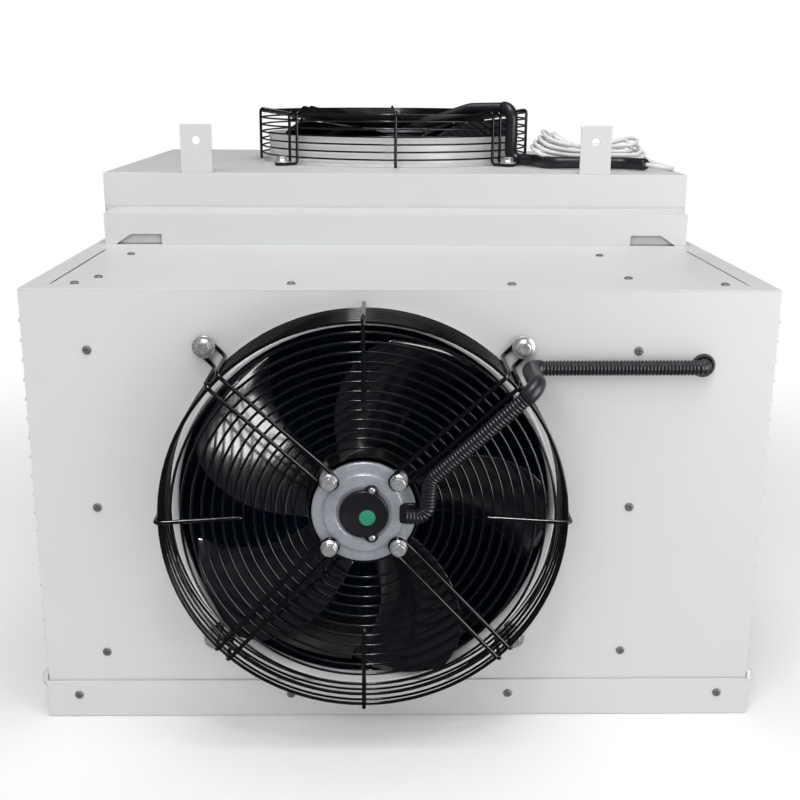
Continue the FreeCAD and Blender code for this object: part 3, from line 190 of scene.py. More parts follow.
class Shade:
    """A value inside a material's graph."""

    def __init__(self, tree, socket=None):
        self.tree = tree
        self.socket = socket

    def node(self, kind, settings=None, sockets=None, output=0):
        """Adds a node: its settings first, then the values or links of its sockets, by name or number."""
        made = self.tree.nodes.new(kind)
        for key, value in (settings or {}).items():
            setattr(made, key, value)
        for key, value in (sockets or {}).items():
            self.feed(made.inputs[key], value)
        return Shade(self.tree, made.outputs[output])

    def feed(self, socket, value):
        """Links a shade to a socket, or sets the socket's plain value."""
        if isinstance(value, Shade):
            self.tree.links.new(value.socket, socket)
        else:
            socket.default_value = value

    def math(self, operation, first, second):
        return self.node("ShaderNodeMath", {"operation": operation}, {0: first, 1: second})

    def __add__(self, other):
        return self.math("ADD", self, other)

    def __radd__(self, other):
        return self.math("ADD", other, self)

    def __sub__(self, other):
        return self.math("SUBTRACT", self, other)

    def __rsub__(self, other):
        return self.math("SUBTRACT", other, self)

    def __mul__(self, other):
        return self.math("MULTIPLY", self, other)

    def __rmul__(self, other):
        return self.math("MULTIPLY", other, self)


def place(shade):
    """The point on the piece, in metres, in the unit's own frame."""
    return shade.node("ShaderNodeTexCoord", output="Object")


def grain(shade, scale, detail=2.0, rough=0.5):
    """Soft noise from 0 to 1 whose lumps are about 1/scale metres across."""
    return shade.node("ShaderNodeTexNoise", sockets={
        "Vector": place(shade), "Scale": scale, "Detail": detail, "Roughness": rough})


def between(shade, factor, low, high):
    """A colour between two colours."""
    return shade.node("ShaderNodeMix", {"data_type": "RGBA"}, {0: factor, 6: (*low, 1), 7: (*high, 1)}, 2)


# %% [markdown]
# ## Painted, moulded and coated finishes
# Powder coat, glossy wire coating, moulded plastic and rubber differ in colour, gloss and in the size of
# their grain. All of them have a fine grain that breaks up the gloss and a slow change of shade over the
# part. One recipe with other numbers makes each of them.

# %% Coated finishes
FINISHES = {}


def new_finish(slot, **constants):
    """A material for a slot of the record, with the constant values set on its shader's own sockets."""
    material = bpy.data.materials.new(slot)
    material.use_nodes = True
    shader = material.node_tree.nodes["Principled BSDF"]
    for socket, value in constants.items():
        shader.inputs[socket.replace("_", " ").title().replace("Ior", "IOR")].default_value = value
    FINISHES[slot] = material
    return Shade(material.node_tree), shader


def bump(shade, shader, strength, distance, height):
    """Gives a shader a bump whose height of 1 stands for a distance in metres."""
    shade.feed(shader.inputs["Normal"], shade.node("ShaderNodeBump", sockets={
        "Strength": strength, "Distance": distance, "Height": height}))


def coated(slot, dark, light, gloss, peel, depth, mottle=5.0, **constants):
    """Colour from dark to light in slow mottles, roughness about one value, and peel lumps of a depth."""
    shade, shader = new_finish(slot, **constants)
    slow, fine = grain(shade, mottle, 4.0, 0.6), grain(shade, peel, 3.0, 0.55)
    shade.feed(shader.inputs["Base Color"], between(shade, slow * 0.75 + fine * 0.25, dark, light))
    shade.feed(shader.inputs["Roughness"], gloss + (slow - 0.5) * 0.16 + (fine - 0.5) * 0.08)
    bump(shade, shader, 0.5, depth, fine)


coated("white_powder_coat", (0.62, 0.63, 0.628), (0.68, 0.69, 0.688), 0.44, 620.0, 0.00006)
# The collar wears the casing's white paint; its lighter white here is a painted highlight on the lit lip.
coated("white_collar", (0.84, 0.845, 0.85), (0.9, 0.905, 0.91), 0.36, 500.0, 0.00005)
coated("black_wire", (0.002, 0.002, 0.003), (0.006, 0.006, 0.008), 0.13, 900.0, 0.00003,
       specular_ior_level=0.4)
# The blades' black leans to blue: a painted navy reflection.
coated("black_blade", (0.002, 0.002, 0.005), (0.006, 0.007, 0.012), 0.17, 450.0, 0.00003,
       specular_ior_level=1.0, coat_weight=0.6)
coated("rotor_can", (0.005, 0.006, 0.007), (0.014, 0.014, 0.016), 0.38, 500.0, 0.00008,
       specular_ior_level=0.3)
coated("black_plastic", (0.006, 0.006, 0.009), (0.016, 0.016, 0.02), 0.3, 1200.0, 0.00005,
       specular_ior_level=0.3)
coated("white_plastic", (0.66, 0.66, 0.645), (0.74, 0.74, 0.725), 0.35, 900.0, 0.00004)
coated("black_conduit", (0.006, 0.007, 0.01), (0.018, 0.019, 0.024), 0.36, 800.0, 0.00008,
       specular_ior_level=0.35)
coated("black_rubber", (0.014, 0.014, 0.015), (0.032, 0.032, 0.034), 0.62, 700.0, 0.0001)
coated("compressor_black", (0.008, 0.008, 0.009), (0.022, 0.022, 0.024), 0.34, 300.0, 0.00012)
coated("white_lead", (0.7, 0.7, 0.705), (0.79, 0.79, 0.8), 0.42, 900.0, 0.00005, mottle=30.0)
print("coated finishes", len(FINISHES))

# %% [markdown]
# ## Metals
# Zinc and cast aluminium are dull metals whose grain changes from crystal to crystal. Galvanised sheet
# shows it most, as flakes of a centimetre, which a Voronoi pattern cuts well. Copper darkens in patches
# as it ages. Coil fins have a thin blue coat over fine lines from rolling; their blue is made dark as
# painted shade for the dark inside of the casing.

# %% Metal finishes


def bare_metal(slot, dark, light, gloss, cells, spread, metallic, scratches=1500.0):
    """Metal with crystal flakes of 1/cells metres, whose roughness spreads about a value. Scratches are the
    scale of a fine grain in its surface."""
    shade, shader = new_finish(slot, metallic=metallic)
    flakes = shade.node("ShaderNodeTexVoronoi", sockets={"Vector": place(shade), "Scale": cells}, output=1)
    tone = shade.node("ShaderNodeSeparateColor", sockets={0: flakes})
    slow = grain(shade, 12.0, 5.0, 0.65)
    mixed = tone * 0.45 + slow * 0.55
    shade.feed(shader.inputs["Base Color"], between(shade, mixed, dark, light))
    shade.feed(shader.inputs["Roughness"], gloss + (mixed - 0.5) * spread)
    fine = grain(shade, scratches, 2.0)
    bump(shade, shader, 0.35, 0.00005, fine + mixed * 0.4)


bare_metal("zinc_screw", (0.38, 0.39, 0.4), (0.62, 0.63, 0.64), 0.3, 700.0, 0.3, 0.6)
bare_metal("motor_housing", (0.34, 0.362, 0.4), (0.5, 0.525, 0.575), 0.36, 400.0, 0.22, 0.4)
bare_metal("galvanised", (0.4, 0.41, 0.42), (0.66, 0.67, 0.68), 0.36, 90.0, 0.3, 0.9)
bare_metal("copper", (0.36, 0.16, 0.08), (0.8, 0.42, 0.25), 0.3, 60.0, 0.3, 1.0)
# The fins' blue coat is real; its darkness is painted shade for the dark inside of the casing.
bare_metal("coil_fins", (0.01, 0.09, 0.2), (0.03, 0.2, 0.36), 0.34, 250.0, 0.2, 0.5, 300.0)

# %% [markdown]
# ## Foam and small extras
# The bulkhead's foam is full of small closed cells. The casing's small screws are of a duller zinc than the
# fans' bolts. The green disc on the motor's lid is a plain printed spot. A grey strip in each notch of the
# bridge cover is painted light for its lit inside. At the end every CAD part gets the finish of its own
# slot.

# %% Foam and small extras


def foam():
    """Cells of about 4 mm: dents in the surface, with painted shade at their bottoms."""
    shade, shader = new_finish("insulation")
    cells = shade.node("ShaderNodeTexVoronoi", sockets={"Vector": place(shade), "Scale": 260.0})
    slow = grain(shade, 9.0, 4.0)
    colour = between(shade, cells * 0.5 + slow * 0.5, (0.5, 0.46, 0.36), (0.72, 0.68, 0.57))
    shade.feed(shader.inputs["Base Color"], colour)
    shade.feed(shader.inputs["Roughness"], 0.75 + (slow - 0.5) * 0.2)
    bump(shade, shader, 0.8, 0.0006, cells)


foam()
coated("dull_zinc", (0.08, 0.083, 0.086), (0.2, 0.205, 0.21), 0.4, 900.0, 0.0001, mottle=200.0)
coated("green_spot", (0.0, 0.16, 0.085), (0.03, 0.36, 0.2), 0.4, 1500.0, 0.00003, mottle=60.0)
# A grey finish for the strips that paint the light on the inside of the bridge cover's notches.
coated("notch_painted_light", (0.42, 0.42, 0.415), (0.58, 0.58, 0.57), 0.8, 400.0, 0.0003, mottle=40.0)
SLOTS = {part["node"]: part["material_slot"] for part in frame["record"]["subparts"]}
for name, slot in SLOTS.items():
    frame["nodes"][name].data.materials.clear()
    frame["nodes"][name].data.materials.append(FINISHES[slot])
lead.data.materials.append(FINISHES["white_lead"])
print("finishes", len(FINISHES))

# %% [markdown]
# ## Shapes from arrays
# A piece is a grid of points, so its faces follow from the grid's size alone. Most parts here are turned or
# drawn: `turned` spins an outline about Z and `wire` carries a circle along a path. Each returns points
# and faces, and `piece` puts several of them into one mesh, closes its seams and poles and lets it ride.

# %% Array helpers


def around(steps):
    """Even angles of one full turn."""
    return np.arange(steps) * 2 * np.pi / steps


def polar(radius, angle, height):
    """Points at radii, angles and heights, which are first spread to one shape."""
    return np.stack(np.broadcast_arrays(radius * np.cos(angle), radius * np.sin(angle), height), -1)


def flattened(wave, power):
    """A wave between -1 and 1 that stays near its ends for longer, the more so the smaller the power."""
    return np.sign(wave) * np.abs(wave) ** power


def quads(rows, columns, close_rows=False, close_columns=False):
    """Faces between the neighbours of a grid of points, with or without a seam in each direction."""
    row, column = np.meshgrid(np.arange(rows - (not close_rows)), np.arange(columns - (not close_columns)),
                              indexing="ij")
    row, column = row.ravel(), column.ravel()
    next_row, next_column = (row + 1) % rows, (column + 1) % columns
    return np.stack([row * columns + column, row * columns + next_column, next_row * columns + next_column,
                     next_row * columns + column], 1)


def turned(outline, steps=96, closed=True):
    """An outline of (radius, height), listed upwards along its outside, spun about Z."""
    outline = np.array(outline, float)
    points = polar(outline[:, :1], around(steps), outline[:, 1:])
    return points.reshape(-1, 3), quads(len(outline), steps, closed, True)


def wire(path, radius, sides=8, closed=False, reference=(0.31, 0.22, 0.93)):
    """A circle carried along a path, square to its direction. Both ends of an open wire get flat lids."""
    path = np.array(path, float)
    ahead = np.roll(path, -1, 0) - np.roll(path, 1, 0) if closed else np.gradient(path, axis=0)
    ahead = ahead / np.linalg.norm(ahead, axis=1, keepdims=True)
    side = np.cross(np.array(reference) + 0 * ahead, ahead)
    side = side / np.linalg.norm(side, axis=1, keepdims=True)
    other = np.cross(ahead, side)
    turn = around(sides)[None, :, None]
    radius = np.broadcast_to(radius, (len(path),))[:, None, None]
    ring = np.cos(turn) * side[:, None] + np.sin(turn) * other[:, None]
    points = path[:, None] + radius * ring
    if not closed:
        points = np.concatenate([np.broadcast_to(path[:1, None], (1, sides, 3)), points,
                                 np.broadcast_to(path[-1:, None], (1, sides, 3))])
    return points.reshape(-1, 3), quads(len(points), sides, closed, True)


def rounded(corners, radii, step=8.0):
    """A path along straight runs whose corners are arcs, with a point every few degrees."""
    corners = np.array(corners, float)
    path = [corners[:1]]
    for before, corner, after, radius in zip(corners, corners[1:], corners[2:], radii):
        back = (before - corner) / np.linalg.norm(before - corner)
        front = (after - corner) / np.linalg.norm(after - corner)
        half = math.acos(float(np.clip(back @ front, -1, 1))) / 2
        middle = (back + front) / np.linalg.norm(back + front)
        centre = corner + middle * radius / math.sin(half)
        turn = np.pi / 2 - half
        angle = np.linspace(-turn, turn, max(3, round(math.degrees(2 * turn) / step)))[:, None]
        square = (front - back) / np.linalg.norm(front - back)
        path.append(centre + radius * (np.sin(angle) * square - np.cos(angle) * middle))
    path.append(corners[-1:])
    return np.concatenate(path)


def spaced(path, gap):
    """The same path with points at even distances of about one gap."""
    length = np.concatenate([[0], np.cumsum(np.linalg.norm(np.diff(path, axis=0), axis=1))])
    wanted = np.linspace(0, length[-1], max(2, round(length[-1] / gap)) + 1)
    return np.stack([np.interp(wanted, length, path[:, k]) for k in range(3)], 1), wanted


def about_z(parts, degrees):
    """Copies of points and faces, turned about Z by each angle."""
    made = []
    for angle in np.radians(degrees):
        c, s = math.cos(angle), math.sin(angle)
        made += [(points @ np.array([[c, s, 0], [-s, c, 0], [0, 0, 1]]), faces) for points, faces in parts]
    return made


def moved(parts, shift):
    return [(points + np.array(shift, float), faces) for points, faces in parts]


def piece(name, parts, slot, body="root", stands_for=(), finish=None, flat=False):
    """One mesh of all the parts, in metres, merged at its seams, that rides on a body of the CAD model."""
    starts = np.cumsum([0] + [len(points) for points, faces in parts])
    points = np.concatenate([points for points, faces in parts]) * MM
    faces = np.concatenate([faces + start for (_, faces), start in zip(parts, starts)])
    mesh = bpy.data.meshes.new(name)
    mesh.from_pydata(points.tolist(), [], faces.tolist())
    shape = bmesh.new()
    shape.from_mesh(mesh)
    bmesh.ops.remove_doubles(shape, verts=shape.verts, dist=2e-6)
    shape.to_mesh(mesh)
    shape.free()
    mesh.polygons.foreach_set("use_smooth", np.full(len(mesh.polygons), not flat))
    mesh.materials.append(FINISHES[finish or slot])
    made = bpy.data.objects.new(name, mesh)
    bpy.context.scene.collection.objects.link(made)
    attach(made, body)
    if stands_for:
        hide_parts(*stands_for)
    return made


# %% [markdown]
# ## Two fans, one set of parts
# Both fans are the same make, so every fan part is worked out once about its own axis, with heights
# measured out from the sheet that carries it. A part is then put down twice: upright on the front panel
# and lying on the deck.

# %% Fan seats
FAN_X = -36.0
FACE_Y = -370.0
FAN_HEIGHT = 240.5
DECK_FAN_BACK = 285.0
FANS = ("front", "deck")


def seated(parts, fan):
    """Fan parts moved to the front panel, where heights point to the viewer, or to the deck."""
    if fan == "deck":
        return moved(parts, (0, DECK_FAN_BACK, DECK))
    upright = np.array([[1, 0, 0], [0, 0, 1], [0, -1, 0]], float)
    return moved([(points @ upright, faces) for points, faces in parts], (FAN_X, FACE_Y, FAN_HEIGHT))


def fan_piece(name, parts, slot, stands_for=(), body="root", finish=None, flat=False, fans=FANS):
    """A fan part on each fan, which stands for that fan's CAD nodes."""
    for fan in fans:
        piece(f"{fan}_{name}", seated(parts, fan), slot, body if body == "root" else f"{fan}_{body}",
              [f"{fan}_{node}" for node in stands_for], finish, flat)


# %% [markdown]
# ## The wire guards
# A real guard is bent from two thicknesses of wire and spot welded. Thin rings lie under four double arms
# and four short spokes. Each arm is one closed loop: round the motor's bolt, out to the rim, down the side
# and round the bolt in the casing. Curves with a bevel would do, but arrays give the same tubes as plain
# meshes with an even number of sides.

# %% Guards
GUARD_RADIUS = 190.0
GUARD_HEIGHT = 71.0
GUARD_PCD = 429.3
INNER_RING = 62.0
RING_PITCH = 9.5
CAGE_PITCH = 9.8
MOTOR_PCD = 93.0
ARM_WIRE = 2.05
RING_WIRE = 1.35
ARM_SPACING = 7.5
QUARTERS = (45, 135, 225, 315)
FACE_WIRE = 49.9
LOOP_INSIDE = 8.2
LOOP_OUTSIDE = 7.6
CAGE_RINGS = 6
SPOKE_LENGTH = 76
WELD = 0.25


def dish(radius):
    """Height of an arm's middle: flat over the motor, then rising evenly to the rim."""
    return FACE_WIRE + (GUARD_HEIGHT - FACE_WIRE) * np.maximum(np.array(radius, float) - INNER_RING, 0) / (
        GUARD_RADIUS - INNER_RING)


def arm_loop():
    """One arm as a closed loop of wire, along +X."""
    out, foot = GUARD_RADIUS + RING_WIRE + ARM_WIRE, ARM_WIRE
    inner, outer = MOTOR_PCD / 2 - LOOP_INSIDE, GUARD_PCD / 2 + LOOP_OUTSIDE
    half = ARM_SPACING
    run = [(inner, 0, dish(inner)), (inner, -half, dish(inner)), (INNER_RING, -half, dish(INNER_RING)),
           (out, -half, dish(out)), (out, -half, foot), (outer, -half, foot), (outer, 0, foot)]
    bends = [half * 0.98, 60, 7, 5, half * 0.98]
    one = rounded(run, bends)
    other = one[::-1] * np.array([1, -1, 1])
    return np.concatenate([one, other[1:-1]])


def guard_ring(radius, height):
    """One thin ring of the guard."""
    return wire(polar(radius, around(96), height), RING_WIRE, 6, True, (0, 0, 1))


def guard():
    """All rings, the four arms and the four spokes of one guard. A ring sinks into its arms by the weld."""
    rim = GUARD_RADIUS - 1
    below = ARM_WIRE + RING_WIRE - WELD
    radii = rim - RING_PITCH * np.arange(int((rim - INNER_RING) / RING_PITCH) + 1)
    rings = [guard_ring(radius, dish(radius) - below) for radius in radii]
    heights = dish(GUARD_RADIUS) - 2 - CAGE_PITCH * (1 + np.arange(CAGE_RINGS))
    rings += [guard_ring(GUARD_RADIUS, height) for height in heights]
    rings.append(guard_ring(GUARD_RADIUS, dish(GUARD_RADIUS) - below))
    arms = [wire(arm_loop(), ARM_WIRE, 8, True)]
    out = GUARD_RADIUS + RING_WIRE + ARM_WIRE
    tip = GUARD_RADIUS - SPOKE_LENGTH
    spoke = rounded([(tip, 0, dish(tip)), (out, 0, dish(out)), (out, 0, 0.2)], [4])
    spokes = [wire(spaced(spoke, 3)[0], ARM_WIRE, 8)]
    return rings, about_z(arms, QUARTERS) + about_z(spokes, (0, 90, 180, 270))


guard_rings, guard_arms = guard()
fan_piece("guard_rings", guard_rings, "black_wire", ("guard_grille", "guard_cage"))
fan_piece("guard_arms", guard_arms, "black_wire", ("guard_grille", "guard_cage"))
print("rings", len(guard_rings), "arms and spokes", len(guard_arms))

# %% [markdown]
# ## Bolts
# Zinc-plated bolts with a washer hold the guard to the casing and the motor to the guard. A hexagon is a
# circle whose radius grows towards six corners, so a bolt is a turned outline whose radius is changed by
# the angle. Its top corners are cut off by a cone, as they are on real bolts.

# %% Bolts
HEX_RADIUS = 7.0
WASHER = 1.9


def hexagon(angle):
    """Radius of a hexagon of corner radius 1 at an angle."""
    sector = (angle + np.pi / 6) % (np.pi / 3) - np.pi / 6
    return math.cos(np.pi / 6) / np.cos(sector)


def bolt(washer, turn=0.0):
    """A washer of this radius with a hexagon head on it. Height 0 is the washer's underside."""
    disc = turned([(0, 0), (washer - 0.3, 0), (washer, 0.3), (washer, 1.5), (washer - 0.4, WASHER),
                   (0, WASHER)], 40, False)
    steps = 48
    angle = around(steps)
    reach = np.array([1.15, 1.15, 1.0, 1.0, 0.9, 0.84, 0.6, 0.3, 0.0])[:, None] * HEX_RADIUS
    height = np.array([WASHER, 2.6, 2.9, 7.2, 8.0, 8.3, 8.5, 8.1, 8.0])[:, None]
    corner = hexagon(angle + turn) * HEX_RADIUS
    six_sided = (height > 2.7) & (height < 8.05) & (reach > 5)
    radius = np.where(six_sided, np.minimum(reach, corner), reach)
    points = polar(radius, angle, height).reshape(-1, 3)
    return [disc, (points, quads(len(height), steps, False, True))]


foot_bolts = about_z(moved(bolt(11.0), (GUARD_PCD / 2, 0, 2 * ARM_WIRE)), QUARTERS)
motor_screws = about_z(moved(bolt(8.3, 0.4), (MOTOR_PCD / 2, 0, FACE_WIRE + ARM_WIRE)), QUARTERS)
fan_piece("foot_bolts", foot_bolts, "zinc_screw", ("guard_bolts",))
fan_piece("hanger_bolts", motor_screws, "zinc_screw", ("motor_bolts",))

# %% [markdown]
# ## The collar
# A drawn ring of sheet metal guides the air round the blade tips. Its foot is curled onto the casing and
# its front edge is flared. A black band inside it beside the blade tips is painted shade for its dark
# inner wall. Both are outlines spun about the fan's axis.

# %% Collar
THROAT = 178.5
SHEET = 1.5
COLLAR_HEIGHT = 38.0
FLARE = 3.0


def collar():
    """Outline of the ring: a quarter-round foot, a straight wall, and an edge that flares outwards."""
    curl = np.linspace(np.pi / 2, 0, 7)
    foot_out = np.stack([THROAT + 6 - 4.5 * np.sin(curl), 1.5 + 4.5 * (1 - np.cos(curl))], 1)[::-1]
    rise = np.linspace(0, 1, 6)
    out = np.stack([THROAT + SHEET + FLARE * rise ** 2, 29 + 9 * rise], 1)
    lip = [(THROAT + FLARE + 0.75, COLLAR_HEIGHT + 0.0), (THROAT + FLARE, COLLAR_HEIGHT - 0.3)]
    back = np.stack([THROAT + FLARE * rise[::-1] ** 2, 29 + 8.4 * rise[::-1]], 1)
    outline = np.concatenate([[(THROAT, 0), (THROAT + 6, 0)], foot_out, out, lip, back])
    return turned(outline, 128)


# A black band inside the collar: painted shade for the dark inner wall beside the blade tips.
PAINTED_SHADE_BAND = turned([(THROAT - 0.8, 0.3), (THROAT - 0.05, 0.3), (THROAT - 0.05, 23.0), (THROAT - 0.3, 23.4),
                 (THROAT - 0.8, 22.6)], 128)
# The collar's lighter white is a painted highlight on its lip.
fan_piece("collar_ring", [collar()], "white_collar", ("collar",))
fan_piece("collar_painted_shade", [PAINTED_SHADE_BAND], "black_blade")

# %% [markdown]
# ## The motor
# The motor's fixed cover is a light alloy casting with a stepped rim, four bolt lugs and a black screwed
# lid. Behind it turns the black rotor can that carries the blades. The cover is turned, the lugs are
# small turned bosses sunk into it, and a dark gland leads the cable out to the right.

# %% Motor
COVER_BACK = 39.0
LID_EARS = (72, 288)
LID_RADIUS = 23.5
GLAND = (42.0, 8.5, 10.0)


def motor_cover():
    """The stepped cover and its four lugs."""
    cover = turned([(0, COVER_BACK), (49.2, COVER_BACK), (50, COVER_BACK + 0.8), (50, 42.9), (49.4, 44.1),
                    (48.2, 44.7), (43.0, 45.2), (39.4, 45.3), (38.9, 45.6), (38.6, 47.2), (37.9, 47.8),
                    (36.0, 48.0), (28.0, 48.0), (26.6, 47.6), (26.0, 46.8), (0, 46.7)], 96, False)
    lug = turned([(0, COVER_BACK), (9, COVER_BACK), (9, 46.6), (8.6, 47.5), (7.8, 47.8), (0, 47.8)],
                 32, False)
    return [cover] + about_z(moved([lug], (MOTOR_PCD / 2, 0, 0)), QUARTERS)


def terminal_lid():
    """The round lid with a soft edge and two screw ears. Its seat is the height it stands on."""
    seat = 46.6
    lid = turned([(0, seat), (23.2, seat), (LID_RADIUS, seat + 0.5), (LID_RADIUS, seat + 3.2),
                  (23.0, seat + 4.2), (22.0, seat + 4.7), (20.8, seat + 4.6), (20.2, seat + 4.2),
                  (0, seat + 4.2)], 64, False)
    ear = turned([(0, seat), (6.6, seat), (6.6, seat + 2.4), (6.0, seat + 3.0), (0, seat + 3.0)], 24, False)
    return [lid] + about_z(moved([ear], (LID_RADIUS, 0, 0)), LID_EARS)


def gland():
    """The dark mouth where the cable leaves the cover: a rounded block at its place out from the axis, with
    its half-sizes outwards and sideways."""
    place_out, half_out, half_side = GLAND
    steps = 48
    outwards = flattened(np.cos(around(steps)), 0.35) * half_out
    sideways = flattened(np.sin(around(steps)), 0.35) * half_side
    height = np.array([COVER_BACK + 1, 47.2, 48.6, 49.0, 49.0])[:, None]
    shrink = np.array([1, 1, 0.97, 0.9, 0.0])[:, None]
    points = np.stack(np.broadcast_arrays(place_out + outwards * shrink, sideways * shrink, height), -1)
    return [(points.reshape(-1, 3), quads(len(height), steps, False, True))]


fan_piece("motor_cover", motor_cover(), "motor_housing", ("motor_stator",))
fan_piece("cable_gland", gland(), "black_plastic")
fan_piece("terminal_lid", terminal_lid(), "black_plastic", fans=("deck",))
fan_piece("terminal_lid", terminal_lid(), "black_plastic", ("motor_cap",), fans=("front",))
lid_screw = turned([(0, 49.5), (3.3, 49.5), (3.2, 50.4), (2.4, 51.3), (1.2, 51.6), (0, 51.6)], 24, False)
fan_piece("lid_screws", about_z(moved([lid_screw], (25.0, 0, 0)), LID_EARS), "zinc_screw")
spot = turned([(0, 50.7), (7.6, 50.7), (7.8, 51.0), (7.5, 51.15), (0, 51.15)], 48, False)
fan_piece("green_spot", moved([spot], (3.2, -3.0, 0)), "black_plastic", finish="green_spot",
          fans=("front",))

# %% [markdown]
# ## Rotor and blades
# Five sickle-shaped blades are welded to the rotor can. A blade's section is a thin arc that climbs from
# the sheet towards the guard. The section is carried out along the radius while it grows, turns and
# slides forwards, so one formula with two parameters gives the whole blade.

# %% Rotor and blades
ROTOR = 55.0
BLADE_COUNT = 5
BLADE_START = 15.0
BLADE_SWEEP = -22.0
SWEEP_POWER = 2.2
BLADE_CLEAR = 17.5
BLADE_LOW = 7
BLADE_SUNK = 1.5
HALF_THICK = 0.8
ROOT_CHORD = 52
TIP_CHORD = 112
BOW = 0.07
TIP = THROAT - 5.0


def rotor_can():
    """The can, open to the front, with a rolled edge and a soft back corner."""
    top = COVER_BACK - 2
    low = top - 65
    return turned([(0, low), (50, low), (53.2, low + 0.9), (54.7, low + 3), (ROTOR, low + 5),
                   (ROTOR, top - 1), (54.6, top), (52.6, top), (52, top - 0.8), (52, low + 5),
                   (0, low + 4)], 96, False)


def blade():
    """Radius share u and chord share v. The angle is the sweep times a power of u plus the chord's share
    over the radius. The height climbs with v from low to near the guard, with a bow of 4 b c v (1 - v) for
    the bow b and the chord c. The chord narrows again near the tip, which rounds the corners. Both faces
    are half a thickness off, and the edges are rounded by a thickness that vanishes there."""
    rows, steps = 25, 48
    u = np.linspace(0, 1, rows)[:, None]
    turn = around(steps)
    v = 0.5 - 0.5 * np.cos(turn)
    side = np.sign(np.sin(turn)) * np.minimum(1, np.abs(np.sin(turn)) * 6) * HALF_THICK
    radius = ROTOR - BLADE_SUNK + (TIP - ROTOR + BLADE_SUNK) * u
    chord = ROOT_CHORD + (TIP_CHORD - ROOT_CHORD) * u
    chord = chord * (1 - 0.16 * np.clip((u - 0.86) / 0.14, 0, 1) ** 2)
    climb = dish(radius) - BLADE_CLEAR
    swept = math.radians(BLADE_START) + math.radians(BLADE_SWEEP) * u ** SWEEP_POWER
    angle = swept + chord * (v - 0.5) / radius
    height = BLADE_LOW + climb * v + 4 * BOW * chord * v * (1 - v) + side
    points = polar(radius, angle, height)
    lids = np.broadcast_to(points[[0, -1]].mean(1, keepdims=True), (2, steps, 3))
    points = np.concatenate([lids[:1], points, lids[1:]])
    return points.reshape(-1, 3), quads(rows + 2, steps, False, True)[:, ::-1]


fan_piece("rotor_shell", [rotor_can()], "rotor_can", ("rotor",), "impeller")
blades = about_z([blade()], [360 * k / BLADE_COUNT for k in range(BLADE_COUNT)])
fan_piece("sickle_blades", blades, "black_blade", ("blades",), "impeller")

# %% [markdown]
# ## Conduits
# The motors' cables run in corrugated conduit beside an arm, and a smooth sleeve covers them where they
# cross the rim. A corrugated pipe is a circle carried along a path whose radius swings between two
# values every few millimetres.

# %% Conduits
CONDUIT = 7.5
RIB_PITCH = 3.4
SLEEVE = 8.3
RUN_HEIGHT = 8.6
RIM_DROP = 2.1
SLEEVE_BEFORE = 17
SLEEVE_AFTER = 13
CROWN_BACK = 75
PIPE_REFERENCE = (0.11, 0.05, 0.99)
HOLE_PLACE = (326, 133.5)


def ribbed(corners, radii):
    """A conduit whose radius is 7.5 on each rib and a millimetre less between ribs."""
    path, length = spaced(rounded(corners, radii), RIB_PITCH / 6)
    swing = np.cos(2 * np.pi * length / RIB_PITCH)
    return wire(path, CONDUIT - 0.5 + 0.5 * flattened(swing, 0.5), 16, reference=PIPE_REFERENCE)


def sleeve(corners, radii, radius=SLEEVE):
    """A smooth tube whose ends narrow by 1.2 mm over their last step."""
    step = 2.5
    path, length = spaced(rounded(corners, radii), step)
    ends = np.minimum(length, length[-1] - length)
    return wire(path, radius - 1.2 * (1 - np.clip(ends / step, 0, 1)) ** 2, 20, reference=PIPE_REFERENCE)


def fan_route(side):
    """Corners of the conduit in the fan's frame, the same as in the CAD source. It runs beside an arm whose
    wires rise from 49.5 by 21.5 mm over the 128 mm between the inner ring and the rim."""
    beside, rim, start = 17.6, 204.8, 55.8

    def beside_arm(reach, height):
        return ((reach + beside) / math.sqrt(2), side * (reach - beside) / math.sqrt(2), float(height))

    def on_arm(reach, above):
        return beside_arm(reach, 49.5 + 21.5 * (reach - INNER_RING) / 128 + above)

    return [(40, 0, start), (60, 0, start), on_arm(69.5, 7.3), on_arm(rim, 7.1),
            beside_arm(rim, RUN_HEIGHT)]


def towards(start, end, distance):
    """The point a distance from the start towards the end."""
    start, end = np.array(start, float), np.array(end, float)
    return start + (end - start) / np.linalg.norm(end - start) * distance


def conduit_set(fan, side, arch, rest):
    """Motor stretch and sleeve of one fan's conduit. The motor stretch bows up by an arch, and the corner
    at the rim is lowered, so that the round sleeve is no higher than the CAD model's hose. What comes back
    are the corners of the stretch after the sleeve."""
    route = fan_route(side) + rest
    route[3] = tuple(np.array(route[3]) - (0, 0, RIM_DROP))
    before, after = towards(route[3], route[2], SLEEVE_BEFORE), towards(route[4], route[5], SLEEVE_AFTER)
    crown = towards(route[3], route[2], CROWN_BACK) + np.array([0, 0, arch])
    motor = ribbed(route[:3] + [crown, before], [12, 17, 60])
    cover = sleeve([before, route[3], route[4], after], [14, 12])
    fan_piece("ribbed_motor_conduit", [motor], "black_conduit", ("motor_conduit",), fans=(fan,))
    fan_piece("smooth_sleeve", [cover], "black_conduit", ("rim_sleeve",), fans=(fan,))
    return [after] + route[5:]


